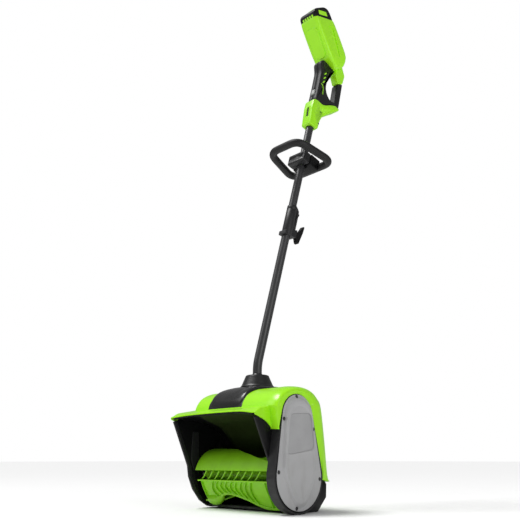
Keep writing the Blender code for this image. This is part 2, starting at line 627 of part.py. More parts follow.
def build_tubes():
    lower = place("lower_tube", bent_line(0.218, SPLIT_S - GAP, POLE_R), TUBE, 0.35, 0.6)
    bore = place("lower_bore", bent_line(0.200, SPLIT_S + 0.02, POLE_R - POLE_WALL), TUBE, 0.5, 0.0, None, True)
    combine(lower, bore)
    r, wall = POLE_R, POLE_R - POLE_WALL
    top = 0.0955
    upper = ring("upper_tube", [(wall, 0.0), (r, 0.0), (r, top - SPLIT_S), (wall, top - SPLIT_S)],
                 at(POLE, 0.0, SPLIT_S), AXIS_P, 28, TUBE, 0.35, 0.6)
    hole(upper, 0.0055, at(POLE, 0.004, BUTTON_S), at(POLE, 0.03, BUTTON_S), 20)


KNOB_S = -0.372
BUTTON_S = -0.306


def build_coupler():
    """Sleeve over the joint of the two tubes, with a knob boss and a button ramp behind."""
    r = POLE_R
    sleeve = rod("coupler_sleeve", r + 0.0035, at(POLE, 0.0012, -0.393), at(POLE, 0.0012, -0.292),
                 DARK, 0.5, 0.0, 28)
    soften(sleeve, 0.0015)
    ramp = prism("coupler_ramp", [(0.000, -0.384), (r + 0.009, -0.384), (r + 0.011, -0.360),
                                  (r + 0.011, -0.314), (r + 0.010, -0.300), (0.014, -0.292),
                                  (0.000, -0.292)], -0.0095, 0.0095, POLE, cutter=True, edge=0.0025)
    join(sleeve, ramp)
    band = prism("coupler_band", [(-r - 0.005, -0.3945), (0.0275, -0.3865), (0.0275, -0.3605),
                                  (-r - 0.005, -0.3815)], -r - 0.0015, r + 0.0015, POLE, cutter=True,
                 edge=0.003)
    join(sleeve, band)
    hole(sleeve, POLE_R + GAP, at(POLE, 0.0, -0.45), at(POLE, 0.0, -0.25), 28)
    hole(sleeve, 0.0033, at(POLE, 0.005, KNOB_S), at(POLE, 0.05, KNOB_S), 16)
    hole(sleeve, 0.0055, at(POLE, 0.005, BUTTON_S), at(POLE, 0.05, BUTTON_S), 20)
    rod("knob_bolt", 0.0030, at(POLE, r + 0.0007, KNOB_S), at(POLE, 0.0440, KNOB_S), STEEL, 0.3, 1.0, 16,
        origin=at(POLE, 0.0275, KNOB_S))
    wing = [(0.0280, KNOB_S - 0.0070), (0.0340, KNOB_S - 0.0075), (0.0400, KNOB_S - 0.0210),
            (0.0480, KNOB_S - 0.0215), (0.0500, KNOB_S - 0.0100), (0.0560, KNOB_S + 0.0180),
            (0.0585, KNOB_S + 0.0400), (0.0530, KNOB_S + 0.0415), (0.0450, KNOB_S + 0.0220),
            (0.0340, KNOB_S + 0.0085), (0.0280, KNOB_S + 0.0070)]
    knob = prism("wing_knob", wing, -0.0070, 0.0070, POLE, BLACK, 0.5, origin=at(POLE, 0.028, KNOB_S),
                 edge=0.0022)
    hole(knob, 0.0033, at(POLE, 0.020, KNOB_S), at(POLE, 0.0445, KNOB_S), 16)
    button = rod("snap_button", 0.0052, at(POLE, r + 0.0009, BUTTON_S), at(POLE, 0.0300, BUTTON_S),
                 BLACK, 0.45, 0.0, 20, origin=at(POLE, 0.0225, BUTTON_S))
    soften(button, 0.0015)


# ---------------------------------------------------------------- loop handle
LOOP_S = -0.130


def loop_line(front_x, back_x, front_t, back_t, corner):
    """Rounded four-sided loop in the plane square to the pole, as curve points."""
    corners = [Vector((-front_x, front_t)), Vector((front_x, front_t)), Vector((back_x, back_t)),
               Vector((-back_x, back_t))]
    out = []
    for i, c in enumerate(corners):
        a = (corners[i - 1] - c).normalized()
        b = (corners[(i + 1) % 4] - c).normalized()
        start, end = c + a * corner, c + b * corner
        for k in range(7):
            f = k / 6
            p = start.lerp(c, f).lerp(c.lerp(end, f), f)
            out.append(at(POLE, p.y, LOOP_S, p.x))
    return out


def build_loop():
    curve = bpy.data.curves.new("loop", "CURVE")
    curve.dimensions = "3D"
    curve.bevel_depth = 0.0115
    curve.bevel_resolution = 3
    points = loop_line(0.057, 0.080, -0.082, 0.044, 0.032)
    line = curve.splines.new("POLY")
    line.points.add(len(points) - 1)
    line.use_cyclic_u = True
    for knot, p in zip(line.points, points):
        knot.co = (*p, 1.0)
    holder = bpy.data.objects.new("loop", curve)
    CUTTERS.objects.link(holder)
    bpy.context.view_layer.update()
    mesh = bpy.data.meshes.new_from_object(holder)
    bpy.data.objects.remove(holder, do_unlink=True)
    bm = bmesh.new()
    bm.from_mesh(mesh)
    bmesh.ops.remove_doubles(bm, verts=bm.verts[:], dist=1e-6)
    bmesh.ops.recalc_face_normals(bm, faces=bm.faces[:])
    bm.to_mesh(mesh)
    bm.free()
    loop = place("loop_handle", mesh, BLACK, 0.5, 0.0)
    seat = box("loop_seat", (0.0002, LOOP_S - 0.0185, -0.0340), (0.0400, LOOP_S + 0.0185, 0.0340), POLE,
               cutter=True, edge=0.003)
    join(loop, seat)
    hole(loop, POLE_R + GAP, at(POLE, 0.0, LOOP_S - 0.05), at(POLE, 0.0, LOOP_S + 0.05), 28)
    block = box("loop_clamp", (-0.0270, LOOP_S - 0.0170, -0.0330), (-0.0004, LOOP_S + 0.0170, 0.0330),
                POLE, DARK, 0.5, edge=0.003)
    hole(block, POLE_R + GAP, at(POLE, 0.0, LOOP_S - 0.05), at(POLE, 0.0, LOOP_S + 0.05), 28)
    for name, x in (("loop_screw_left", -0.0245), ("loop_screw_right", 0.0245)):
        hole(loop, 0.0028, at(POLE, -0.01, LOOP_S, x), at(POLE, 0.020, LOOP_S, x), 12)
        hole(block, 0.0028, at(POLE, -0.05, LOOP_S, x), at(POLE, 0.02, LOOP_S, x), 12)
        hole(block, 0.0048, at(POLE, -0.05, LOOP_S, x), at(POLE, -0.0235, LOOP_S, x), 16)
        screw(name, at(POLE, 0.018, LOOP_S, x), at(POLE, -0.0255, LOOP_S, x), 0.0024, 0.0043, 0.0018)


# ---------------------------------------------------------------- rear handle
def build_handle_socket():
    """Lime clamp body over the pole top with the arm that carries the guard."""
    outline = [(-0.0190, 0.004), (0.0170, 0.004), (0.0195, 0.040), (0.0260, 0.0620), (0.0480, 0.0900),
               (0.0760, 0.1220), (0.0910, 0.1380), (0.0910, 0.1440), (0.0700, 0.1440), (0.0480, 0.1300),
               (0.0300, 0.1140), (0.0160, 0.1060), (-0.0100, 0.1060), (-0.0240, 0.1000),
               (-0.0250, 0.0700), (-0.0220, 0.0400)]
    socket = prism("handle_socket", outline, -0.0185, 0.0185, POLE, LIME, 0.35, edge=0.005, segments=3)
    hole(socket, POLE_R + GAP, at(POLE, 0.0, -0.05), at(POLE, 0.0, 0.0960), 28)
    beside = POLE_R + 0.0043
    for i, s in enumerate((0.028, 0.074)):
        hole(socket, 0.0022, at(POLE, beside, s, -0.009), at(POLE, beside, s, 0.03), 12)
        hole(socket, 0.0042, at(POLE, beside, s, 0.0150), at(POLE, beside, s, 0.03), 16)
        screw("socket_screw_%d" % (i + 1), at(POLE, beside, s, -0.006), at(POLE, beside, s, 0.0168),
              0.0018, 0.0038, 0.0015)


GRIP = [(-0.0165, 0.1064), (-0.0105, 0.1064), (0.0158, 0.1064), (0.0298, 0.1144), (0.0478, 0.1304),
        (0.0698, 0.1444), (0.0698, 0.1560), (0.0450, 0.1480), (0.0270, 0.1600), (0.0175, 0.1790),
        (0.0170, 0.2300), (0.0250, 0.2500), (0.0360, 0.2620), (0.0400, 0.2700), (-0.0188, 0.2770),
        (-0.0290, 0.2600), (-0.0180, 0.2280), (-0.0165, 0.1700)]
TRIGGER_PIVOT = (0.0095, 0.2160)
LOCK_S = 0.1400


def build_grip():
    """Two grip shells meeting on the mid plane, hollow round the switch gear."""
    for name, lo, hi in (("grip_left", -0.00015, 0.03), ("grip_right", -0.03, 0.00015)):
        shell = prism(name, GRIP, -GRIP_HALF, GRIP_HALF, POLE, BLACK, 0.6, edge=0.005, segments=3, angle=60)
        pocket(shell, (-0.1, 0.05, lo), (0.1, 0.35, hi), POLE)
        slot = prism(name + "_slot", [(-0.0110, 0.1580), (0.0300, 0.1580), (0.0300, 0.2220),
                                      (0.0040, 0.2240), (-0.0110, 0.2240)], -0.0078, 0.0078, POLE, cutter=True)
        combine(shell, slot)
        lock = prism(name + "_lock", [(-0.0300, LOCK_S - 0.0105), (-0.0080, LOCK_S - 0.0105),
                                      (-0.0080, LOCK_S + 0.0105), (-0.0300, LOCK_S + 0.0105)],
                     -0.0068, 0.0068, POLE, cutter=True)
        combine(shell, lock)
        duct = prism(name + "_duct", [(-0.0082, 0.1300), (0.0060, 0.1300), (0.0060, 0.1600),
                                      (-0.0082, 0.1600)], -0.0055, 0.0055, POLE, cutter=True)
        combine(shell, duct)


def build_trigger():
    t0, s0 = TRIGGER_PIVOT
    outline = [(0.0060, s0 + 0.0035), (0.0130, s0 + 0.0040), (0.0178, s0 - 0.0010), (0.0210, 0.2000),
               (0.0235, 0.1820), (0.0215, 0.1640), (0.0150, 0.1620), (0.0105, 0.1700), (0.0090, 0.1980),
               (0.0055, s0 - 0.0020)]
    trigger = prism("trigger", outline, -0.0070, 0.0070, POLE, DARK, 0.45, origin=at(POLE, t0, s0))
    soften(trigger, 0.0012, 2, 35)
    hole(trigger, 0.0018, at(POLE, t0, s0, -0.02), at(POLE, t0, s0, 0.02), 12)
    rod("trigger_pin", 0.0015, at(POLE, t0, s0, -0.0074), at(POLE, t0, s0, 0.0074), STEEL, 0.3, 1.0, 12)
    box("trigger_switch", (-0.0104, 0.1700, -0.0060), (-0.0010, 0.1920, 0.0060), POLE, BLACK, 0.4,
        edge=0.0006)
    lock = prism("lock_button", [(-0.0205, LOCK_S - 0.0080), (-0.0180, LOCK_S - 0.0098),
                                 (-0.0125, LOCK_S - 0.0098), (-0.0125, LOCK_S + 0.0098),
                                 (-0.0180, LOCK_S + 0.0098), (-0.0205, LOCK_S + 0.0080)],
                 -0.0060, 0.0060, POLE, GREY, 0.4, origin=at(POLE, -0.0165, LOCK_S))
    soften(lock, 0.0008, 2, 30)


def build_guard():
    """Straight knuckle guard between the arm and the battery housing."""
    outline = [(0.0702, 0.1444), (0.0908, 0.1444), (0.0930, 0.1560), (0.0895, 0.2560), (0.0665, 0.2400),
               (0.0690, 0.1800)]
    guard = prism("guard_bar", outline, -GUARD_HALF, GUARD_HALF, POLE, BLACK, 0.6, edge=0.0035, angle=30)
    return guard


def build_housing():
    """Battery housing: rounded box open at the top, with a root for the guard and the grip."""
    body = [(-0.0145, -0.0150), (-0.0020, -0.0300), (0.0500, -0.0300), (0.0700, -0.0120),
            (0.0800, 0.0100), (0.0800, 0.1180), (0.0740, 0.1320), (-0.0030, 0.1520), (-0.0150, 0.1400)]
    housing = prism("battery_housing", body, -HOUSING_HALF, HOUSING_HALF, HEAD, LIME, 0.35,
                    edge=0.007, segments=3, angle=50)
    root = prism("guard_root", [(0.0670, 0.2420), (0.0890, 0.2562), (0.0920, 0.2950), (0.0700, 0.3250),
                                (0.0420, 0.3000), (0.0480, 0.2700)], -0.0135, 0.0135, POLE, cutter=True,
                 edge=0.003)
    join(housing, root)
    seat = prism("grip_seat", [(-0.0700, 0.2100), (0.0404, 0.2100), (0.0404, 0.2704), (-0.0190, 0.2774),
                               (-0.0300, 0.2604), (-0.0700, 0.2600)], -0.0500, 0.0500, POLE, cutter=True)
    cavity = prism("pack_room", [(-0.0115, 0.0150), (0.0770, 0.0150), (0.0770, 0.1800), (-0.0115, 0.1800)],
                   -HOUSING_HALF + HOUSING_WALL, HOUSING_HALF - HOUSING_WALL, HEAD, cutter=True)
    combine(housing, seat)
    combine(housing, cavity)
    board_room = prism("board_room", [(0.0040, -0.0200), (0.0450, -0.0200), (0.0450, 0.0160),
                                      (0.0040, 0.0160)], -0.0250, 0.0250, HEAD, cutter=True)
    combine(housing, board_room)


def build_pack():
    half = HOUSING_HALF - HOUSING_WALL - GAP
    outline = [(-0.0112, 0.0250), (0.0767, 0.0250), (0.0767, 0.1550), (0.0720, 0.1720), (0.0560, 0.1800),
               (0.0060, 0.1780), (-0.0070, 0.1700), (-0.0112, 0.1600)]
    pack = prism("battery_pack", outline, -half, half, HEAD, BLACK, 0.5, origin=at(HEAD, 0.0325, 0.1540))
    soften(pack, 0.0020, 2, 50)
    pocket(pack, (0.0180, 0.1728, -0.0125), (0.0420, 0.1900, 0.0125), HEAD)
    latch = prism("battery_latch", [(0.0185, 0.1764), (0.0415, 0.1764), (0.0415, 0.1800), (0.0360, 0.1832),
                                    (0.0240, 0.1832), (0.0185, 0.1800)], -0.0120, 0.0120, HEAD, LIME, 0.4,
                  origin=at(HEAD, 0.0300, 0.1800))
    soften(latch, 0.0008, 2, 30)
    box("terminal_block", (0.0180, 0.0154, -0.0160), (0.0480, 0.0246, 0.0160), HEAD, DARK, 0.5, edge=0.0008)
    box("controller_board", (0.0070, -0.0170, -0.0220), (0.0420, -0.0120, 0.0220), HEAD, (0.02, 0.12, 0.05),
        0.5)


build_base()
build_drum_wall()
build_side_plate("side_plate_left", -1)
build_side_plate("side_plate_right", 1)
build_bearing("bearing_left", -1)
build_bearing("bearing_right", 1)
build_hood()
build_visor()
build_saddle()
build_boot()
build_case()
build_cover()
build_cover_screws()
build_pulleys()
build_belt()
build_motor()
build_rotor()
build_end_cap()
build_pole_socket()
build_tubes()
build_coupler()
build_loop()
build_handle_socket()
build_grip()
build_trigger()
build_guard()
build_housing()
build_pack()
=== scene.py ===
"""Looks of the cordless snow blower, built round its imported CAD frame.

Metres, +Z up, the same frame as the CAD: snow enters from -Y, the belt drive is at +X and
the pole leans back to +Y. Every smooth skin here follows the sizes of its CAD piece.
"""

import math

import bmesh
import bpy
from mathutils import Matrix, Vector


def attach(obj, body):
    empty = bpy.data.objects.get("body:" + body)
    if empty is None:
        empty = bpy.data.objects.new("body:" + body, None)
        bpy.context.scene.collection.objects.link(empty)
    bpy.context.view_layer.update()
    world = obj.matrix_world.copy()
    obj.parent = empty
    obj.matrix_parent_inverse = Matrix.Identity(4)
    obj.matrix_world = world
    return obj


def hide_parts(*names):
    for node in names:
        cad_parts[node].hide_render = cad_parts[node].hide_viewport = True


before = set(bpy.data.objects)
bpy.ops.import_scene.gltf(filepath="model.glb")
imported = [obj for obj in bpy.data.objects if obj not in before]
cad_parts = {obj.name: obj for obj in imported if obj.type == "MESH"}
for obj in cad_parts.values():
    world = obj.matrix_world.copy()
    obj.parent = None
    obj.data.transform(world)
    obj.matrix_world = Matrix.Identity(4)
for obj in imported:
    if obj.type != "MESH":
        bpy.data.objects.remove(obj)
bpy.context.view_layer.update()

# ---------------------------------------------------------------- sizes shared with the CAD
CLEAR_HALF = 0.1435
PLATE_OUT = 0.1485
HOOD_IN = 0.1488
HOOD_OUT = 0.1515
HOOD_T = 0.0026
LIP_T = 0.0024
DRUM_T = 0.003
DOME_LEFT = -0.120
CASE_OUT = 0.1728
COVER_IN = 0.1731
COVER_OUT = 0.1786
ROTOR_Y, ROTOR_Z = -0.066, 0.079
BEARING_R = 0.013
MOTOR_Z = 0.228
PADDLE_HALF = 0.127
SADDLE_HALF = 0.060
POLE_R = 0.0115
POLE_Y = -0.0285
POLE_HOLE_R = POLE_R + 0.001
POLE_BEND_Z = 0.343
LEAN = math.radians(16.5)
BEND_R = 0.12
SPLIT_S = -0.344
SOCKET_Z = 1.09
HEAD_TILT = math.radians(46.0)
HOUSING_HALF = 0.037
GRIP_HALF = 0.0165
GUARD_HALF = 0.0125
KNOB_S, BUTTON_S, LOOP_S, LOCK_S = -0.372, -0.306, -0.130, 0.1400     # heights up the pole
FIT = 0.0003                                                          # gap between nested pieces

AXIS_X = Vector((1.0, 0.0, 0.0))
AXIS_P = Vector((0.0, math.sin(LEAN), math.cos(LEAN)))
AXIS_Q = Vector((0.0, math.cos(LEAN), -math.sin(LEAN)))
SOCKET_O = Vector((0.0, POLE_Y + (SOCKET_Z - POLE_BEND_Z) * math.tan(LEAN), SOCKET_Z))
AXIS_H = math.cos(HEAD_TILT) * AXIS_P - math.sin(HEAD_TILT) * AXIS_Q
AXIS_K = math.sin(HEAD_TILT) * AXIS_P + math.cos(HEAD_TILT) * AXIS_Q
HOUSING_O = SOCKET_O + 0.29 * AXIS_P + 0.010 * AXIS_Q


def basis(col_x, col_y, col_z, origin):
    m = Matrix((col_x, col_y, col_z)).transposed().to_4x4()
    m.translation = origin
    return m


SIDE = basis(Vector((0, 1, 0)), Vector((0, 0, 1)), AXIS_X, Vector((0, 0, 0)))   # (y, z, x)
POLE = basis(AXIS_Q, AXIS_P, AXIS_X, SOCKET_O)                                  # (t, s, x)
HEAD = basis(AXIS_K, AXIS_H, AXIS_X, HOUSING_O)                                 # (k, h, x)


# ---------------------------------------------------------------- materials
class Shader:
    """A Principled material whose colour, roughness and bump are wired from noise."""

    def __init__(self, name, rgb, rough, metal=0.0, specular=0.5):
        self.material = bpy.data.materials.new(name)
        self.material.use_nodes = True
        self.material.diffuse_color = (*rgb, 1.0)
        self.tree = self.material.node_tree
        self.body = self.tree.nodes["Principled BSDF"]
        self.body.inputs["Metallic"].default_value = metal
        self.body.inputs["Specular IOR Level"].default_value = specular
        self.place = self.tree.nodes.new("ShaderNodeTexCoord").outputs["Object"]
        self.rgb = rgb
        self.rough = rough

    def node(self, kind, **values):
        made = self.tree.nodes.new(kind)
        for key, value in values.items():
            setattr(made, key, value)
        return made

    def noise(self, scale, detail=3.0, stretch=None):
        made = self.node("ShaderNodeTexNoise")
        made.inputs["Scale"].default_value = scale
        made.inputs["Detail"].default_value = detail
        place = self.place
        if stretch:
            mapping = self.node("ShaderNodeMapping")
            mapping.inputs["Scale"].default_value = stretch
            self.tree.links.new(place, mapping.inputs["Vector"])
            place = mapping.outputs["Vector"]
        self.tree.links.new(place, made.inputs["Vector"])
        return made.outputs["Fac"]

    def spread(self, source, low, high, from_low=0.35, from_high=0.65):
        made = self.node("ShaderNodeMapRange")
        limits = {"From Min": from_low, "From Max": from_high, "To Min": low, "To Max": high}
        for key, value in limits.items():
            made.inputs[key].default_value = value
        self.tree.links.new(source, made.inputs["Value"])
        return made.outputs["Result"]

    def blend(self, factor, first, second):
        """Colour between two colours or links, by a factor link."""
        made = self.node("ShaderNodeMix", data_type="RGBA")
        self.tree.links.new(factor, made.inputs["Factor"])
        for key, value in (("A", first), ("B", second)):
            sockets = [s for s in made.inputs if s.name == key and s.type == "RGBA"]
            if isinstance(value, tuple):
                sockets[0].default_value = (*value, 1.0)
            else:
                self.tree.links.new(value, sockets[0])
        return [s for s in made.outputs if s.type == "RGBA"][0]

    def colours(self, scale=28.0, amount=0.06):
        low = tuple(c * (1 - amount) for c in self.rgb)
        high = tuple(min(1.0, c * (1 + amount)) for c in self.rgb)
        return self.blend(self.spread(self.noise(scale), 0.0, 1.0), low, high)

    def edges(self, colour, worn, start=0.53, end=0.60, strength=0.5):
        """Paler rubbed edges, broken up by noise."""
        edge = self.node("ShaderNodeNewGeometry").outputs["Pointiness"]
        rub = self.spread(edge, 0.0, strength, start, end)
        patch = self.spread(self.noise(90.0, 4.0), 0.0, 1.0, 0.42, 0.6)
        both = self.node("ShaderNodeMath", operation="MULTIPLY")
        self.tree.links.new(rub, both.inputs[0])
        self.tree.links.new(patch, both.inputs[1])
        return self.blend(both.outputs["Value"], colour, worn)

    def scuffs(self, colour, mark, top, strength=0.35):
        """Faint rubbed dirt low down, fading out at the given height."""
        split = self.node("ShaderNodeSeparateXYZ")
        self.tree.links.new(self.place, split.inputs["Vector"])
        low = self.spread(split.outputs["Z"], strength, 0.0, 0.0, top)
        patch = self.spread(self.noise(60.0, 5.0, (1.0, 1.0, 0.25)), 0.0, 1.0, 0.5, 0.66)
        both = self.node("ShaderNodeMath", operation="MULTIPLY")
        self.tree.links.new(low, both.inputs[0])
        self.tree.links.new(patch, both.inputs[1])
        return self.blend(both.outputs["Value"], colour, mark)

    def finish(self, colour, grain=900.0, depth=0.06, vary=0.06, stretch=None):
        self.tree.links.new(colour, self.body.inputs["Base Color"])
        rough = self.spread(self.noise(17.0, 4.0), self.rough - vary, self.rough + vary)
        self.tree.links.new(rough, self.body.inputs["Roughness"])
        bump = self.node("ShaderNodeBump")
        bump.inputs["Strength"].default_value = depth
        bump.inputs["Distance"].default_value = 0.0006
        self.tree.links.new(self.noise(grain, 2.0, stretch), bump.inputs["Height"])
        self.tree.links.new(bump.outputs["Normal"], self.body.inputs["Normal"])
        return self.material


def plastic(name, rgb, rough, worn, grain=900.0, depth=0.06, specular=0.5, scuff=None, amount=0.05):
    s = Shader(name, rgb, rough, 0.0, specular)
    colour = s.edges(s.colours(26.0, amount), worn, strength=0.22)
    if scuff:
        colour = s.scuffs(colour, scuff, 0.16)
    return s.finish(colour, grain, depth)


def lime_plastic(name, rough=0.30):
    s = Shader(name, (0.335, 0.790, 0.010), rough, 0.0, 0.32)
    s.body.inputs["Coat Weight"].default_value = 0.12
    s.body.inputs["Coat Roughness"].default_value = 0.18
    colour = s.edges(s.colours(9.0, 0.03), (0.50, 0.88, 0.08), strength=0.12)
    return s.finish(s.scuffs(colour, (0.22, 0.40, 0.04), 0.20, 0.25), 500.0, 0.02, 0.03)


def powder_coat(name):
    s = Shader(name, (0.026, 0.026, 0.0275), 0.34, 0.0, 0.50)
    return s.finish(s.colours(40.0, 0.10), 1500.0, 0.05, 0.04)


def rubber(name, rgb=(0.016, 0.016, 0.017), rough=0.62):
    s = Shader(name, rgb, rough, 0.0, 0.40)
    return s.finish(s.edges(s.colours(70.0, 0.15), (0.05, 0.05, 0.05), strength=0.2), 1300.0, 0.10, 0.06)


def steel(name, rgb=(0.56, 0.56, 0.57), rough=0.30, stretch=(1.0, 12.0, 12.0)):
    s = Shader(name, rgb, rough, 1.0)
    colour = s.scuffs(s.colours(120.0, 0.10), (0.20, 0.17, 0.14), 0.3, 0.4)
    return s.finish(colour, 700.0, 0.08, 0.07, stretch)


LIME = lime_plastic("lime_moulded")
# paddle lime darker than the hood's lime: painted shade for the paddles lying in the visor's shadow
LIME_PADDLE_PAINTED_SHADE = plastic("lime_paddle_painted_shade", (0.255, 0.620, 0.012), 0.36, (0.50, 0.85, 0.10), 420.0, 0.05, 0.35,
                      (0.16, 0.32, 0.03))
# near-black olive colour for the lime liner: painted shade for the deep shadow under the roof, not the
# liner's own lime
LIME_LINER_PAINTED_SHADE = plastic("lime_liner_painted_shade", (0.018, 0.030, 0.006), 0.5, (0.05, 0.09, 0.02), 420.0, 0.05, 0.15)
BLACK = plastic("black_moulded", (0.0040, 0.0040, 0.0043), 0.38, (0.012, 0.012, 0.013), 1100.0, 0.06, 0.16,
                (0.014, 0.013, 0.012), 0.12)
CHARCOAL = plastic("charcoal_moulded", (0.0085, 0.0085, 0.0095), 0.25, (0.03, 0.03, 0.03), 800.0, 0.03, 0.45,
                   None, 0.10)
DARK = plastic("dark_moulded", (0.0140, 0.0140, 0.0150), 0.46, (0.04, 0.04, 0.04), 1000.0, 0.10, 0.30,
               (0.030, 0.028, 0.026), 0.12)
GRIP = plastic("soft_grip", (0.0080, 0.0080, 0.0085), 0.52, (0.025, 0.025, 0.025), 1700.0, 0.15, 0.30, None,
               0.15)
GREY = plastic("grey_cover", (0.375, 0.375, 0.380), 0.42, (0.55, 0.55, 0.55), 1200.0, 0.10, 0.35,
               (0.22, 0.21, 0.19), 0.03)
GREY_INSET = plastic("grey_inset", (0.330, 0.330, 0.335), 0.48, (0.4, 0.4, 0.4), 1400.0, 0.16, 0.30, None,
                     0.04)
PALE_GREY = plastic("pale_grey", (0.33, 0.34, 0.33), 0.50, (0.7, 0.7, 0.7), 900.0, 0.08)
RUBBER = rubber("boot_rubber", (0.0100, 0.0100, 0.0108), 0.34)
BELT = rubber("belt_rubber", (0.012, 0.012, 0.012))
TUBE = powder_coat("pole_powder_coat")
STEEL = steel("turned_steel")
ZINC = steel("zinc_plate", (0.50, 0.50, 0.47), 0.42, (1.0, 1.0, 1.0))
CAN = steel("motor_can", (0.42, 0.42, 0.43), 0.36)
BLACK_STEEL = steel("black_screw", (0.060, 0.060, 0.062), 0.36)
BOARD = plastic("circuit_board", (0.015, 0.11, 0.04), 0.4, (0.3, 0.3, 0.1), 300.0, 0.25)
SCRAPER = plastic("scraper_bar", (0.045, 0.045, 0.045), 0.5, (0.16, 0.16, 0.16), 600.0, 0.15, 0.35,
                  (0.10, 0.10, 0.09))


# ---------------------------------------------------------------- outlines
def arc(cy, cz, r, start, end, count):
    out = []
    for i in range(count + 1):
        a = math.radians(start + (end - start) * i / count)
        out.append((cy + r * math.cos(a), cz + r * math.sin(a)))
    return out


def pear(grow, grow_top=None):
    """Outline of the belt drive: a wide lower circle and a smaller upper one."""
    grow_top = grow if grow_top is None else grow_top
    lower = arc(ROTOR_Y, 0.0775, 0.071 + grow, 172, 368, 44)
    return lower + arc(-0.068, 0.206, 0.049 + grow_top, 12, 168, 30)


def rounded(points, radius, steps=4):
    """Closed outline with each corner turned into a small curve."""
    out = []
    for i, p in enumerate(points):
        c = Vector(p)
        a, b = Vector(points[i - 1]) - c, Vector(points[(i + 1) % len(points)]) - c
        start = c + a.normalized() * min(radius, a.length * 0.45)
        end = c + b.normalized() * min(radius, b.length * 0.45)
        for k in range(steps + 1):
            f = k / steps
            q = start.lerp(c, f).lerp(c.lerp(end, f), f)
            out.append((q.x, q.y))
    return out


def smooth(points, steps=5):
    """Open line through all the points, as a Catmull-Rom curve."""
    out = []
    last = len(points) - 1
    for i in range(last):
        p0, p1 = Vector(points[max(i - 1, 0)]), Vector(points[i])
        p2, p3 = Vector(points[i + 1]), Vector(points[min(i + 2, last)])
        for k in range(steps):
            t = k / steps
            out.append(tuple(0.5 * (2 * p1 + (p2 - p0) * t + (2 * p0 - 5 * p1 + 4 * p2 - p3) * t * t
                                    + (3 * p1 - p0 - 3 * p2 + p3) * t * t * t)))
    return out + [tuple(points[-1])]


def table(pairs, x):
    """Height at x on the smooth curve through (x, height) pairs."""
    line = smooth(pairs, 8)
    for (x0, z0), (x1, z1) in zip(line, line[1:]):
        if x <= x1:
            return z0 + (z1 - z0) * (x - x0) / (x1 - x0)
    return line[-1][1]


def mix(p, q, t):
    return (p[0] + (q[0] - p[0]) * t, p[1] + (q[1] - p[1]) * t)


def between(line, other, t):
    return [mix(p, q, t) for p, q in zip(line, other)]


def rect(a0, b0, a1, b1):
    return [(a0, b0), (a1, b0), (a1, b1), (a0, b1)]


def offset_line(points, amount):
    """Copy of an open line, shifted to its left."""
    out = []
    for i, p in enumerate(points):
        d = (Vector(points[min(i + 1, len(points) - 1)]) - Vector(points[max(i - 1, 0)])).normalized()
        out.append((p[0] - d.y * amount, p[1] + d.x * amount))
    return out


def nearest(p, line):
    return min(line, key=lambda q: (q[0] - p[0]) ** 2 + (q[1] - p[1]) ** 2)


def spread_out(points, count):
    """The same line again, with evenly spaced points."""
    steps = [0.0]
    for a, b in zip(points, points[1:]):
        steps.append(steps[-1] + (Vector(b) - Vector(a)).length)
    out = []
    for i in range(count):
        want = steps[-1] * i / (count - 1)
        k = next((j for j in range(len(points) - 1) if steps[j + 1] >= want - 1e-9))
        f = (want - steps[k]) / (steps[k + 1] - steps[k])
        out.append(tuple(Vector(points[k]).lerp(Vector(points[k + 1]), f)))
    return out


# ---------------------------------------------------------------- meshes
def strip_faces(bm, rows, closed):
    """Quads between rows of points; with closed, each row is a ring."""
    made = [[bm.verts.new(p) for p in row] for row in rows]
    count = len(rows[0])
    for a, b in zip(made, made[1:]):
        for i in range(count if closed else count - 1):
            j = (i + 1) % count
            bm.faces.new((a[i], a[j], b[j], b[i]))
    return made


def capped(bm, rings):
    """Closed tube through the rings, with a face over each end."""
    made = strip_faces(bm, rings, True)
    bm.faces.new(made[0])
    bm.faces.new(made[-1])


def object_from(bm, name):
    bmesh.ops.remove_doubles(bm, verts=bm.verts[:], dist=1e-6)
    bmesh.ops.dissolve_degenerate(bm, edges=bm.edges[:], dist=1e-6)
    bmesh.ops.recalc_face_normals(bm, faces=bm.faces[:])
    for face in bm.faces:
        face.smooth = True
    mesh = bpy.data.meshes.new(name)
    bm.to_mesh(mesh)
    bm.free()
    ob = bpy.data.objects.new(name, mesh)
    bpy.context.scene.collection.objects.link(ob)
    return ob


def modifier(ob, kind, **values):
    mod = ob.modifiers.new(kind.lower(), kind)
    for key, value in values.items():
        setattr(mod, key, value)
    return mod


def soften(ob, width, segments=3, angle=35.0):
    modifier(ob, "BEVEL", width=width, segments=segments, limit_method="ANGLE",
             angle_limit=math.radians(angle), harden_normals=False)
    modifier(ob, "WEIGHTED_NORMAL", keep_sharp=False, weight=60)
    return ob


def settle(ob):
    """Turn the modifiers into plain mesh."""
    bpy.context.view_layer.update()
    mesh = bpy.data.meshes.new_from_object(ob.evaluated_get(bpy.context.evaluated_depsgraph_get()))
    ob.modifiers.clear()
    ob.data = mesh
    return ob


def skin(name, rows, thickness, edge=0.0):
    """Moulded wall: a surface through rows of points, thickened inwards."""
    bm = bmesh.new()
    for grid in rows:
        strip_faces(bm, grid, False)
    ob = object_from(bm, name)
    modifier(ob, "SOLIDIFY", thickness=thickness, offset=-1.0, use_even_offset=False)
    return soften(ob, edge, 2) if edge else ob


def solid(name, rings, edge=0.0, segments=2, angle=35.0):
    """Closed body through rings of points, with a face over each end."""
    bm = bmesh.new()
    made = strip_faces(bm, rings, True)
    for ring in (made[0], made[-1]):
        if (ring[0].co - ring[len(ring) // 2].co).length > 1e-6:
            bm.faces.new(ring)
    ob = object_from(bm, name)
    return soften(ob, edge, segments, angle) if edge else ob


def slab(name, outline, z0, z1, place, edge=0.001, segments=3, corner=0.0, angle=40.0):
    """Plate with rounded corners and bevelled rims."""
    if corner:
        outline = rounded(outline, corner)
    rings = [[place @ Vector((a, b, z)) for a, b in outline] for z in (z0, z1)]
    return solid(name, rings, edge, segments, angle)


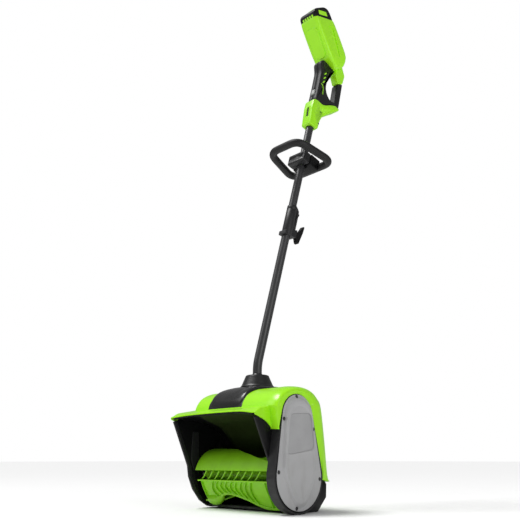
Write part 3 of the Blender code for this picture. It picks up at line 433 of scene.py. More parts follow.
def offset_ring(points, amount):
    """Closed outline drawn in by the amount, whichever way round it runs."""
    area = sum(a[0] * b[1] - b[0] * a[1] for a, b in zip(points, points[1:] + points[:1]))
    amount = amount if area > 0 else -amount
    out = []
    for i, p in enumerate(points):
        d = (Vector(points[(i + 1) % len(points)]) - Vector(points[i - 1])).normalized()
        out.append((p[0] - d.y * amount, p[1] + d.x * amount))
    return out


def pillow(name, outline, half, place, inset, depth, corner, steps=7):
    """Plate whose rims are rounded off into a soft, nearly oval cross-section."""
    outline = rounded(outline, corner, 5)
    levels = []
    for i in range(steps + 1):
        a = math.radians(90 * i / steps)
        levels.append((inset * (1 - math.sin(a)), half - depth * (1 - math.cos(a))))
    levels = [(draw, -x) for draw, x in levels] + [(draw, x) for draw, x in levels[::-1]]
    rings = [[place @ Vector((a, b, x)) for a, b in offset_ring(outline, draw)] for draw, x in levels]
    return solid(name, rings)


def turned(name, profile, start, axis, count=40):
    """Body turned about an axis from (radius, height) pairs."""
    turn = Vector((0, 0, 1)).rotation_difference(Vector(axis)).to_matrix()
    rings = []
    for r, h in profile:
        ring = [Vector((a, b, h)) for a, b in circle(max(r, 1e-5), count)]
        rings.append([Vector(start) + turn @ p for p in ring])
    return solid(name, rings)


def sweep(bm, path, section, up, closed=False):
    """Run a closed (sideways, outwards) section along a path."""
    rings = []
    last = len(path) - 1
    for i, p in enumerate(path):
        before = path[i - 1] if closed or i else path[0]
        after = path[(i + 1) % len(path)] if closed or i < last else path[last]
        along = (Vector(after) - Vector(before)).normalized()
        across = along.cross(Vector(up)).normalized()
        out = across.cross(along).normalized()
        rings.append([Vector(p) + across * a + out * b for a, b in section])
    if closed:
        strip_faces(bm, rings + rings[:1], True)
    else:
        capped(bm, rings)


def circle(r, count=24):
    turns = [2 * math.pi * i / count for i in range(count)]
    return [(r * math.cos(a), r * math.sin(a)) for a in turns]


def carve(ob, tool):
    """Cut the tool's shape out of the object."""
    modifier(ob, "BOOLEAN", operation="DIFFERENCE", solver="EXACT", object=tool)
    settle(ob)
    bpy.data.objects.remove(tool, do_unlink=True)
    for face in ob.data.polygons:
        face.use_smooth = True
    return ob


def bore(ob, r, start, end, count=32):
    along = Vector(end) - Vector(start)
    return carve(ob, turned("bore_tool", [(r, 0.0), (r, along.length)], start, along, count))


def piece(ob, finish, *nodes, body="machine_body"):
    """Give the object its material and its body, and hide the CAD nodes it stands for."""
    ob.data.materials.clear()
    ob.data.materials.append(finish)
    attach(ob, body)
    if nodes:
        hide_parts(*nodes)


def at(place, a, b, c=0.0):
    return place @ Vector((a, b, c))


def across(line, x):
    """The (y, z) points of a line, placed at one station across the machine."""
    return [at(SIDE, y, z, x) for y, z in line]


# ---------------------------------------------------------------- hood, visor and saddle
DOME = [(-0.1366, 0.2283), (-0.13, 0.244), (-0.1155, 0.26), (-0.092, 0.271), (-0.066, 0.276),
        (-0.03, 0.276), (0.000, 0.269), (0.02, 0.255), (0.034, 0.232), (0.044, 0.16),
        (0.051, 0.079), (0.059, 0.0665)]
SHOULDER = [(-0.1366, 0.2283), (-0.1, 0.2345), (-0.07, 0.236), (-0.04, 0.2365), (-0.015, 0.235),
            (0.008, 0.231), (0.021, 0.221), (0.0305, 0.208), (0.0375, 0.184), (0.0432, 0.16),
            (0.0502, 0.079), (0.056, 0.0665)]
POD = [(-0.1296, 0.2235), (-0.125, 0.237), (-0.1135, 0.249), (-0.0935, 0.26), (-0.072, 0.2655),
       (-0.05, 0.2635), (-0.029, 0.255), (-0.014, 0.242), (-0.0035, 0.224), (0.0045, 0.15),
       (0.0135, 0.079), (0.021, 0.068)]
SKIRT = [(-0.129, 0.179), (-0.06, 0.158), (0.000, 0.138), (0.034, 0.115), (0.044, 0.08),
         (0.056, 0.064)]
TURN_IN, DOME_ROUND = 0.034, 0.014
FLANGE = pear(0.0069, 0.0016)
FRONT_TOE, POD_TOE = (-0.129, 0.179), (-0.128, 0.177)


def hood_sections():
    """(x, outline) pairs from the plain side, over the dome, to the flange round the belt case."""
    out = [(-HOOD_OUT, spread_out(SKIRT, 12)), (-HOOD_OUT, offset_line(SHOULDER, -0.0035)),
           (-HOOD_OUT + 0.0011, offset_line(SHOULDER, -0.0012)), (-HOOD_OUT + 0.0035, SHOULDER),
           (DOME_LEFT - 0.01, SHOULDER), (DOME_LEFT - 0.003, SHOULDER)]
    weights = [1.0] * 9 + [0.4, 0.0, 0.0]

    def drawn_in(amount):
        inner = offset_line(DOME, -amount)
        return [mix(p, q, w) for p, q, w in zip(DOME, inner, weights)]

    low = drawn_in(DOME_ROUND)
    out += [(DOME_LEFT - 0.0006, between(SHOULDER, low, 0.07)), (DOME_LEFT, between(SHOULDER, low, 0.35)),
            (DOME_LEFT, low)]
    for i in range(1, 9):
        a = math.radians(90 * i / 8)
        out.append((DOME_LEFT + DOME_ROUND * (1 - math.cos(a)), drawn_in(DOME_ROUND * (1 - math.sin(a)))))
    start = CASE_OUT - TURN_IN
    out += [(DOME_LEFT + DOME_ROUND + (start - DOME_LEFT - DOME_ROUND) * i / 9, DOME) for i in range(1, 10)]
    for i in range(1, 13):
        a = math.radians(90 * i / 12)
        out.append((start + TURN_IN * math.sin(a), between(DOME, POD, 1 - math.cos(a))))
    rim = [nearest(p, FLANGE) for p in POD]
    out += [(CASE_OUT - 0.0002, between(POD, rim, 0.15)), (CASE_OUT - 0.0008, rim), (CASE_OUT - 0.012, rim)]
    return out


def build_hood():
    """Dome, low shoulder and belt pod in one moulded wall."""
    sections = hood_sections()
    main = [across(smooth(line), x) for x, line in sections]
    pod = [(x, line) for x, line in sections if x >= HOOD_IN - 0.002]
    toes = [mix(FRONT_TOE, POD_TOE, (x - CASE_OUT + TURN_IN) / TURN_IN) for x, line in pod]
    toes[-1] = nearest(toes[-1], FLANGE)
    front = []
    for (x, line), toe in zip(pod, toes):
        front.append([at(SIDE, *mix(toe, line[0], i / 4), x) for i in range(5)])
    hood = skin("hood_skin", [main, front], HOOD_T, 0.0007)
    bore(settle(hood), POLE_HOLE_R, (0, POLE_Y, 0.25), (0, POLE_Y, 0.31), 40)
    piece(hood, LIME, "hood_shell")


LIP = [(-0.1515, 0.214), (-0.11, 0.2172), (-0.067, 0.2185), (0.018, 0.2195), (0.094, 0.219),
       (0.128, 0.216), (0.1515, 0.2125)]


def build_visor():
    """Thin arched lip in front of the hood that turns down into a cheek at each end."""
    turn = 0.01

    def row(x, drop, foot):
        """Hood edge to lip at x; drop is how far the row has turned down the cheek, 0 to 1."""
        tip = table(LIP, max(-HOOD_OUT + turn, min(HOOD_OUT - turn, x)))
        line = [(-0.1352, 0.2289), (-0.15, 0.2262), (-0.164, 0.2232), (-0.1755, tip + 0.0014),
                (-0.1795, tip), (-0.18, tip - 0.003)]
        low = [foot, (-0.14, 0.1905), (-0.15, 0.1968), (-0.165, 0.203), (-0.1765, 0.207),
               (-0.179, 0.2085)]
        return across(smooth(between(line, low, drop), 4), x)

    rows = []
    for side, foot in ((-1, (-0.1372, 0.194)), (1, (-0.1268, 0.179))):
        edge = [row(side * HOOD_OUT, f, foot) for f in (1.0, 0.75, 0.5, 0.28)]
        for i in range(6):
            a = math.radians(90 * i / 6)
            drop = 0.16 * (1 - math.sin(a)) ** 1.5
            edge.append(row(side * (HOOD_OUT - turn * (1 - math.cos(a))), drop, foot))
        middle = [row(side * (HOOD_OUT - turn) * (1 - i / 12), 0.0, foot) for i in range(13)]
        whole = edge + middle
        rows.append(whole if side < 0 else whole[::-1])
    lip = skin("visor_skin", [rows[0] + rows[1][1:]], LIP_T, 0.0005)
    piece(lip, LIME, "visor")


SADDLE = [(-0.1362, 0.2312), (-0.132, 0.25), (-0.1195, 0.266), (-0.1, 0.2775), (-0.075, 0.2845),
          (-0.06, 0.286), (0.006, 0.286), (0.026, 0.2715), (0.043, 0.238), (0.046, 0.205)]


def build_saddle():
    """Glossy cover over the middle of the dome, crowned across, with a shallow flute."""
    under = offset_line([(-0.1357, 0.23)] + DOME[1:9] + [(0.0394, 0.2)], 0.0004)
    rows = [(-SADDLE_HALF, under)]
    for i in range(25):
        f = -1 + 2 * i / 24
        drop = 0.0045 * (1 - math.sqrt(max(0.0, 1 - f ** 8))) + 0.0012 * f * f
        flute = 0.0016 * math.exp(-((f * SADDLE_HALF - 0.03) / 0.006) ** 2)
        line = offset_line(SADDLE, -drop)
        line = [(p[0], p[1] - flute * (1 if 1 < k < 8 else 0)) for k, p in enumerate(line)]
        rows.append((f * SADDLE_HALF, line))
    rows.append((SADDLE_HALF, under))
    rings = []
    for x, line in rows:
        rings.append([at(SIDE, y, z, x) for y, z in smooth(line) + smooth(under)[::-1]])
    saddle = solid("saddle_skin", rings, 0.0004, 2, 60)
    bore(settle(saddle), POLE_HOLE_R, (0, POLE_Y, 0.23), (0, POLE_Y, 0.32), 40)
    piece(saddle, CHARCOAL, "saddle_cover")


def build_boot():
    """Stepped rubber boot round the foot of the pole."""
    base, r = 0.2863, POLE_R + FIT
    outer = [(0.042, 0.0), (0.0422, 0.0016), (0.0405, 0.0034), (0.0388, 0.006), (0.0362, 0.012),
             (0.0335, 0.018), (0.0312, 0.0232), (0.0302, 0.0256), (0.0288, 0.0284), (0.0258, 0.03),
             (0.021, 0.0306), (r + 0.004, 0.0308), (r + 0.0012, 0.0306), (r, 0.0298)]
    boot = turned("boot_skin", [(r, 0.0)] + smooth(outer, 3), (0, POLE_Y, base), (0, 0, 1), 48)
    piece(boot, RUBBER, "pole_boot")


# ---------------------------------------------------------------- scoop
ROOF = [(-0.062, 0.196), (-0.034, 0.183), (-0.012, 0.162), (0.004, 0.136), (0.0105, 0.108)]
RIM = [(-0.176, 0.203), (-0.128, 0.099), (-0.124, 0.074), (-0.11, 0.044), (-0.088, 0.018),
       (-0.064, 0.004), (-0.048, 0.001)]
PLATE_FOOT = RIM + [(0.021, 0.001), (0.051, 0.031), (0.053, 0.06), (0.047, 0.066), (0.0455, 0.08),
                    (0.04, 0.126)]
TOP_LEFT = [(0.036, 0.16), (0.024, 0.204), (0.004, 0.222), (-0.04, 0.2275), (-0.1, 0.2255),
            (-0.13, 0.218), (-0.16, 0.2085)]
TOP_RIGHT = [(0.036, 0.16), (0.024, 0.215), (0.004, 0.24), (-0.03, 0.252), (-0.1, 0.252),
             (-0.122, 0.236), (-0.13, 0.218), (-0.16, 0.2085)]


def build_plates():
    """Side plates with a raised rim along the cutting edge."""
    for name, side, top in (("side_plate_left", -1, TOP_LEFT), ("side_plate_right", 1, TOP_RIGHT)):
        lo, hi = sorted((side * CLEAR_HALF, side * PLATE_OUT))
        plate = slab(name + "_skin", PLATE_FOOT + top, lo, hi, SIDE, 0.0009, 2)
        bore(settle(plate), BEARING_R + FIT, (lo - 0.01, ROTOR_Y, ROTOR_Z), (lo + 0.02, ROTOR_Y, ROTOR_Z), 40)
        if side > 0:
            bore(plate, 0.0065, (lo - 0.01, ROTOR_Y, MOTOR_Z), (lo + 0.02, ROTOR_Y, MOTOR_Z), 40)
        piece(plate, BLACK, name)
        inner = offset_line(RIM, 0.0085)
        outline = smooth(RIM, 3) + smooth(inner, 3)[::-1]
        lo, hi = sorted((side * (CLEAR_HALF - 0.0012), side * (CLEAR_HALF + 0.0004)))
        rim = slab(name + "_rim", outline, lo, hi, SIDE, 0.0004, 2)
        piece(rim, DARK)
        rib = [(-0.1164, 0.181), (-0.0975, 0.181), (-0.094, 0.088), (-0.1095, 0.088), (-0.1195, 0.115)]
        rib = slab(name + "_rib", rib, lo - 0.0004, hi + 0.0004, SIDE, 0.0008, 2, 0.004)
        piece(rib, DARK)


def roof_line(x):
    """Roof and drum wall at x; the roof's front edge follows the arch of the lip."""
    tip = table(LIP, x) - 0.0062
    return smooth([(-0.1785, tip), (-0.15, tip + 0.0012), (-0.112, 0.2072)] + ROOF, 4)


def build_drum():
    """Curved drum wall and the lime liner under the roof; the liner's near-black olive colour is painted
    shade.
    """
    half = CLEAR_HALF - FIT
    stations = [half * (-1 + i / 10) for i in range(21)]
    wall = []
    for x in stations:
        line = roof_line(x) + arc(ROTOR_Y, ROTOR_Z, 0.078, 0, -56, 14)[1:]
        wall.append(across(line, x))
    drum = skin("drum_skin", [wall], -DRUM_T, 0.0005)
    piece(drum, BLACK, "drum_wall")
    count = len(roof_line(0.0)) - 2
    left = [table([(0.0, -0.062), (0.35, -0.108), (0.7, -0.12), (1.0, -0.105)], k / (count - 1))
            for k in range(count)]
    rows = []
    for i in range(15):
        row = []
        for k, x in enumerate(left):
            x += (half - 0.0004 - x) * i / 14
            y, z = offset_line(roof_line(x), -0.0007)[k + 2]
            row.append(at(SIDE, y, z, x))
        rows.append(row)
    liner = skin("drum_liner", [rows], 0.0004)
    # the liner's dark colour is painted shade
    piece(liner, LIME_LINER_PAINTED_SHADE)


def build_skid():
    section = [(-0.0225, 0.0), (0.0225, 0.0), (0.053, 0.0305), (0.057, 0.063), (0.047, 0.063),
               (0.043, 0.037), (0.018, 0.0095), (-0.018, 0.0095), (-0.0225, 0.007)]
    half = CLEAR_HALF - FIT
    piece(slab("skid_skin", section, -half, half, SIDE, 0.0007, 2, 0.002), BLACK, "rear_skid")
    end = turned("end_cap_skin", [(0.0, -0.0085), (0.027, -0.0085), (0.029, -0.008), (0.0302, -0.0064),
                                  (0.032, 0.0)], (-PLATE_OUT - FIT, ROTOR_Y, ROTOR_Z), (1, 0, 0), 48)
    piece(end, DARK, "end_cap")


# ---------------------------------------------------------------- belt drive cover
SCREWS = [(-0.072, 0.25), (-0.1132, 0.2), (-0.0175, 0.18), (-0.131, 0.088),
          (0.0000, 0.072), (-0.077, 0.013)]
PLATEAU = [(-0.107, 0.229), (-0.1215, 0.103), (-0.086, 0.024), (-0.052, 0.02), (-0.015, 0.09),
           (-0.029, 0.229), (-0.068, 0.247)]


def toward(p, centre, outline):
    """Where the ray from the centre through p leaves the outline."""
    c, d = Vector(centre), Vector(p) - Vector(centre)
    for a, b in zip(outline, outline[1:] + outline[:1]):
        a, b = Vector(a) - c, Vector(b) - c
        e = b - a
        cross = d.x * e.y - d.y * e.x
        if abs(cross) < 1e-12:
            continue
        t = (a.x * e.y - a.y * e.x) / cross
        u = (a.x * d.y - a.y * d.x) / cross
        if t > 0 and -1e-6 <= u <= 1 + 1e-6:
            return tuple(c + d * t)
    return tuple(p)


def build_cover():
    """Pressed grey cover: flat rim, sloped shoulder, dished middle and recessed screws."""
    rim, centre = COVER_OUT - 0.0038, (-0.067, 0.13)
    plateau = [toward(p, centre, rounded(PLATEAU, 0.03, 8)) for p in pear(0.0)]

    def sized(grow):
        return [(p[0] + (p[0] - centre[0]) * grow, p[1] + (p[1] - centre[1]) * grow) for p in plateau]

    rims = [(-0.003, COVER_IN), (0.0, COVER_IN), (0.0, rim - 0.001), (-0.0003, rim - 0.0003), (-0.001, rim)]
    inner = [(0.08, rim), (0.07, rim + 0.0004), (0.055, rim + 0.0014), (0.005, rim + 0.0053),
             (-0.008, rim + 0.0058), (-0.025, rim + 0.006), (-0.06, COVER_OUT + 0.0021),
             (-0.08, COVER_OUT + 0.0019), (-0.105, COVER_OUT + 0.0012), (-0.12, COVER_OUT + 0.0009),
             (-0.135, COVER_OUT + 0.0008)]
    rings = [across(pear(grow), x) for grow, x in rims]
    rings += [across(sized(grow), x) for grow, x in inner]
    cover = solid("cover_skin", rings)
    for y, z in SCREWS:
        bore(cover, 0.0046, (rim - 0.0016, y, z), (rim + 0.0084, y, z), 40)
    inset = [(-0.097, 0.212), (-0.031, 0.216), (-0.021, 0.135), (-0.108, 0.123)]
    carve(cover, slab("inset_tool", inset, COVER_OUT - 0.001, COVER_OUT + 0.01, SIDE, 0.0, 1, 0.012))
    modifier(cover, "WEIGHTED_NORMAL", keep_sharp=False, weight=60)
    piece(cover, GREY, "drive_cover")
    small = [(-0.0962, 0.2112), (-0.0318, 0.2152), (-0.0218, 0.1358), (-0.1072, 0.1238)]
    panel = slab("cover_inset", small, COVER_OUT - 0.0012, COVER_OUT - 0.0002, SIDE, 0.0007, 3, 0.0115)
    piece(panel, GREY_INSET)
    for i, (y, z) in enumerate(SCREWS):
        head = turned("cover_screw_head_%d" % (i + 1),
                      [(0.0, 0.0), (0.0018, 0.0), (0.0018, 0.0262), (0.004, 0.0262), (0.0041, 0.0272),
                       (0.0034, 0.028), (0.0022, 0.0282), (0.002, 0.027), (0.0, 0.027)],
                      (rim - 0.0277, y, z), AXIS_X, 24)
        piece(head, BLACK_STEEL, "cover_screw_%d" % (i + 1))


# ---------------------------------------------------------------- rotor
PADDLE_WRAP = [(-1.0, 83), (-0.575, 97), (-0.236, 102), (0.102, 119), (0.394, 131), (0.669, 142),
               (1.0, 151)]
TAIL_WRAP = [(-1.0, 83), (-0.709, 86), (-0.512, 118), (-0.236, 131), (0.157, 119), (0.591, 100),
             (1.0, 92)]
WAVE = [(-1.0, 0.02), (-0.787, 0.013), (-0.472, 0.034), (-0.213, 0.0365), (0.118, 0.0275),
        (0.394, 0.016), (0.63, 0.009), (1.0, 0.0095)]
FACE = [(-0.0985, 0.0665), (-0.092, 0.051), (-0.083, 0.036), (-0.075, 0.0235), (-0.068, 0.008)]


def paddle_line(wrap, grow=0.0):
    out = []
    for i in range(13):
        angle = 172 + (wrap - 172) * i / 12
        r = 0.0575 + 0.003 * ((angle - 127) / 45) ** 2 + grow
        out.append((-0.058 + r * math.cos(math.radians(angle)), 0.081 + r * math.sin(math.radians(angle))))
    return out


def face_point(z, grow=0.0):
    line = smooth(FACE, 4)
    for a, b in zip(line, line[1:]):
        if b[1] <= z <= a[1]:
            return (a[0] + (b[0] - a[0]) * (a[1] - z) / (a[1] - b[1]) + grow, z)
    return (line[-1][0] + grow, z)


def half_turn(points, size=1.0):
    return [(ROTOR_Y - size * (y - ROTOR_Y), ROTOR_Z - size * (z - ROTOR_Z)) for y, z in points]


def add_blade(bm, wraps, turn):
    """Curved outer blade whose end follows the wrap table."""
    rings = []
    for i in range(41):
        f = -1 + 2 * i / 40
        wrap = table(wraps, f)
        ring = paddle_line(wrap) + paddle_line(wrap, -0.0035)[::-1]
        rings.append(across(half_turn(ring) if turn else ring, f * PADDLE_HALF))
    capped(bm, rings)


def add_face(bm, turn):
    """Scooping face from the bar down to the wavy edge, with its upright and slanting ribs."""
    size = 0.92 if turn else 1.0

    def place(points, x):
        points = half_turn(points, size) if turn else points
        return across(points, -x if turn else x)

    rings = []
    for i in range(41):
        f = -1 + 2 * i / 40
        low = max(table(WAVE, f), 0.024) if turn else table(WAVE, f)
        levels = [FACE[0][1] + (low - FACE[0][1]) * k / 9 for k in range(10)]
        rings.append(place([face_point(z) for z in levels] + [face_point(z, 0.0045) for z in levels[::-1]],
                           f * PADDLE_HALF))
    capped(bm, rings)
    out = (0, 0.8, 0.25) if turn else (0, -0.8, -0.25)
    for k, f in enumerate([-0.97] + [-0.62 + 0.132 * j for j in range(9)] + [0.78, 0.97]):
        low = max(table(WAVE, f), 0.024) + 0.002 if turn else table(WAVE, f) + 0.002
        path = []
        for j in range(9):
            t = j / 8
            z = 0.0655 + (low - 0.0655) * t
            bow = -0.011 * math.sin(math.pi * t) if 0 < k < 10 else 0.0
            path += place([face_point(z, -0.0012)], f * PADDLE_HALF + bow)
        sweep(bm, path, [(-0.001, -0.002), (0.001, -0.002), (0.0007, 0.0034), (-0.0007, 0.0034)], out)
    if not turn:
        edge = []
        for j in range(33):
            f = -1 + 2 * j / 32
            edge += place([face_point(table(WAVE, f), -0.0002)], f * PADDLE_HALF)
        sweep(bm, edge, circle(0.0038, 12), out)
        roll = [(-0.1262, 0.025, 0.004), (-0.124, 0.024, 0.0085), (-0.118, 0.0225, 0.0115),
                (-0.108, 0.021, 0.0132), (-0.097, 0.021, 0.0136), (-0.086, 0.023, 0.0124),
                (-0.076, 0.0265, 0.0095), (-0.069, 0.0295, 0.006), (-0.066, 0.031, 0.003)]
        rings = []
        for x, z, r in roll:
            y = face_point(z)[0] + 0.004
            rings.append([at(SIDE, y + a, z + b, x) for a, b in circle(r, 24)])
        capped(bm, rings)
    for k in range(9):
        x = -0.118 + 0.0235 * k
        ends = [(-0.1035, 0.0675), (-0.1085, 0.076), (-0.1145, 0.088)]
        path = []
        for j, p in enumerate(ends):
            path += place([p], x + 0.015 * j)
        sweep(bm, path, [(-0.0011, -0.004), (0.0011, -0.004), (0.0009, 0.0012), (-0.0009, 0.0012)], out)
    bar = rounded(rect(-0.11, 0.064, -0.096, 0.0676), 0.0012, 2)
    capped(bm, [place(bar, f * PADDLE_HALF) for f in (-0.996, 0.0, 0.996)])
    web = [(-0.0985, 0.0655), (-0.091, 0.051), (-0.0815, 0.0375), (-0.064, 0.068), (-0.07, 0.0655)]
    for k in range(5):
        x = (k - 2) * (PADDLE_HALF - 0.0022) / 2
        capped(bm, [place(web, x - 0.0014), place(web, x + 0.0014)])


def build_rotor():
    """Two curved paddles on a hub tube."""
    bm = bmesh.new()
    add_blade(bm, PADDLE_WRAP, False)
    add_blade(bm, TAIL_WRAP, True)
    add_face(bm, False)
    add_face(bm, True)
    hub = []
    for x, r in ((-0.131, 0.0053), (-0.131, 0.0132), (-0.1302, 0.014), (0.1302, 0.014), (0.131, 0.0132),
                 (0.131, 0.0053), (-0.131, 0.0053)):
        hub.append([at(SIDE, ROTOR_Y + a, ROTOR_Z + b, x) for a, b in circle(r, 32)])
    strip_faces(bm, hub, True)
    rotor = object_from(bm, "rotor_skin")
    soften(rotor, 0.0004, 2, 40)
    # the paddles take the darker copy of the lime: painted shade
    piece(rotor, LIME_PADDLE_PAINTED_SHADE, "rotor", body="rotor_body")


# ---------------------------------------------------------------- pole
def pole_path():
    """Axis of the lower tube: upright foot, bend, then the leaning axis."""
    centre = Vector((0, POLE_Y + BEND_R, POLE_BEND_Z - BEND_R * math.tan(LEAN / 2)))
    path = [Vector((0, POLE_Y, 0.218)), Vector((0, POLE_Y, 0.3))]
    for i in range(13):
        a = LEAN * i / 12
        path.append(centre + Vector((0, -BEND_R * math.cos(a), BEND_R * math.sin(a))))
    return path + [at(POLE, 0.0, -0.5), at(POLE, 0.0, SPLIT_S - FIT)]


def build_tubes():
    bm = bmesh.new()
    sweep(bm, pole_path(), circle(POLE_R, 36), AXIS_X)
    lower = object_from(bm, "lower_tube_skin")
    soften(lower, 0.0004, 2, 60)
    piece(lower, TUBE, "lower_tube")
    bm = bmesh.new()
    sweep(bm, [at(POLE, 0.0, s) for s in (SPLIT_S, -0.2, -0.1, 0.0, 0.0955)], circle(POLE_R, 36), AXIS_X)
    upper = object_from(bm, "upper_tube_skin")
    soften(upper, 0.0004, 2, 60)
    bore(settle(upper), 0.0056, at(POLE, 0.004, BUTTON_S), at(POLE, 0.03, BUTTON_S))
    piece(upper, TUBE, "upper_tube")


def build_coupler():
    """Sleeve over the tube joint with its boss, ramp and tilted band."""
    r = POLE_R + 0.0035
    profile = [(POLE_R + FIT, 0.0), (r - 0.0015, 0.0), (r, 0.0018), (r, 0.085), (r - 0.0006, 0.0862),
               (r - 0.0006, 0.0882), (r, 0.0894), (r, 0.099), (r - 0.0012, 0.101), (POLE_R + FIT, 0.101),
               (POLE_R + FIT, 0.0)]
    sleeve = turned("coupler_skin", profile, at(POLE, 0.0012, -0.393), AXIS_P, 40)
    piece(sleeve, DARK, "coupler_sleeve")
    ramp = [(POLE_R + 0.001, -0.384), (0.0205, -0.384), (0.0225, -0.36), (0.0225, -0.314),
            (0.0215, -0.3), (0.014, -0.292), (POLE_R + 0.001, -0.292)]
    ramp = slab("coupler_ramp", ramp, -0.0095, 0.0095, POLE, 0.0024, 4, 0.002)
    bore(settle(ramp), 0.0056, at(POLE, 0.005, BUTTON_S), at(POLE, 0.05, BUTTON_S))
    piece(ramp, DARK)
    band = [(-0.0165, -0.3945), (0.0275, -0.3865), (0.0275, -0.3605), (-0.0165, -0.3815)]
    band = slab("coupler_band", band, -0.013, 0.013, POLE, 0.003, 4, 0.003)
    bore(settle(band), POLE_R + FIT, at(POLE, 0.0, -0.45), at(POLE, 0.0, -0.25))
    bore(band, 0.0034, at(POLE, 0.005, KNOB_S), at(POLE, 0.05, KNOB_S))
    piece(band, DARK)
    wing = [(0.028, -0.379), (0.034, -0.3795), (0.04, -0.393), (0.048, -0.3935), (0.05, -0.382),
            (0.056, -0.354), (0.0585, -0.332), (0.053, -0.3305), (0.045, -0.35),
            (0.034, -0.3635), (0.028, -0.365)]
    knob = slab("knob_skin", wing, -0.007, 0.007, POLE, 0.0022, 4, 0.004)
    piece(knob, BLACK, "wing_knob", body="knob_body")
    button = turned("snap_button_skin", [(0.0, 0.0), (0.0052, 0.0), (0.0052, 0.0155), (0.0048, 0.0168),
                                         (0.0036, 0.0175), (0.0, 0.0176)],
                    at(POLE, POLE_R + 0.0009, BUTTON_S), AXIS_Q, 32)
    piece(button, BLACK, "snap_button", body="snap_button_body")


def loop_points(front_x, back_x, front_t, back_t, corner):
    """Rounded four-sided loop square to the pole, wider at the back."""
    corners = [Vector((-front_x, front_t)), Vector((front_x, front_t)), Vector((back_x, back_t)),
               Vector((-back_x, back_t))]
    out = []
    for i, c in enumerate(corners):
        a = (corners[i - 1] - c).normalized()
        b = (corners[(i + 1) % 4] - c).normalized()
        start, end = c + a * corner, c + b * corner
        for k in range(13):
            f = k / 12
            p = start.lerp(c, f).lerp(c.lerp(end, f), f)
            out.append(at(POLE, p.y, LOOP_S, p.x))
    return out


def build_loop():
    """Front handle: soft-covered loop, its seat behind the pole and the clamp before it."""
    bm = bmesh.new()
    path = loop_points(0.057, 0.08, -0.082, 0.044, 0.032)
    sweep(bm, path, circle(0.0115, 24), AXIS_P, True)
    loop = object_from(bm, "loop_skin")
    piece(loop, GRIP, "loop_handle", body="front_handle_body")
    seat = rect(0.0002, LOOP_S - 0.0185, 0.04, LOOP_S + 0.0185)
    seat = slab("loop_seat", seat, -0.034, 0.034, POLE, 0.003, 4, 0.004)
    bore(settle(seat), POLE_R + FIT, at(POLE, 0.0, LOOP_S - 0.05), at(POLE, 0.0, LOOP_S + 0.05))
    piece(seat, BLACK, body="front_handle_body")
    clamp = rect(-0.027, LOOP_S - 0.017, -0.0004, LOOP_S + 0.017)
    clamp = slab("clamp_skin", clamp, -0.033, 0.033, POLE, 0.003, 4, 0.004)
    bore(settle(clamp), POLE_R + FIT, at(POLE, 0.0, LOOP_S - 0.05), at(POLE, 0.0, LOOP_S + 0.05))
    for x in (-0.0245, 0.0245):
        bore(clamp, 0.0048, at(POLE, -0.05, LOOP_S, x), at(POLE, -0.0235, LOOP_S, x), 24)
    piece(clamp, DARK, "loop_clamp", body="front_handle_body")


# ---------------------------------------------------------------- rear handle
SOCKET = [(-0.019, 0.004), (0.017, 0.004), (0.0195, 0.04), (0.026, 0.062), (0.048, 0.09),
          (0.076, 0.122), (0.091, 0.138), (0.091, 0.144), (0.07, 0.144), (0.048, 0.13),
          (0.03, 0.114), (0.016, 0.106), (-0.01, 0.106), (-0.024, 0.1),
          (-0.025, 0.07), (-0.022, 0.04)]
HANDLE = [(-0.0165, 0.1064), (-0.0105, 0.1064), (0.0158, 0.1064), (0.0298, 0.1144), (0.0478, 0.1304),
          (0.0698, 0.1444), (0.0698, 0.156), (0.045, 0.148), (0.027, 0.16), (0.0175, 0.179),
          (0.017, 0.23), (0.025, 0.25), (0.036, 0.262), (0.04, 0.27), (-0.0188, 0.277),
          (-0.029, 0.26), (-0.018, 0.228), (-0.0165, 0.17)]


def build_socket():
    """Lime clamp body over the pole top, with a cooling slot in front."""
    socket = pillow("socket_skin", SOCKET, 0.0185, POLE, 0.002, 0.008, 0.006)
    bore(socket, POLE_R + FIT, at(POLE, 0.0, -0.05), at(POLE, 0.0, 0.096))
    for s in (0.028, 0.074):
        bore(socket, 0.0042, at(POLE, 0.0158, s, 0.015), at(POLE, 0.0158, s, 0.03), 24)
    slot = [(-0.03, 0.036), (-0.0195, 0.036), (-0.0215, 0.072), (-0.03, 0.072)]
    carve(socket, slab("slot_tool", slot, -0.0042, 0.0042, POLE, 0.0, 1, 0.001))
    piece(socket, LIME, "handle_socket")
    inside = [(-0.0206, 0.0355), (-0.019, 0.0355), (-0.021, 0.0725), (-0.0226, 0.0725)]
    piece(slab("slot_insert", inside, -0.0044, 0.0044, POLE, 0.0002, 2), BLACK)


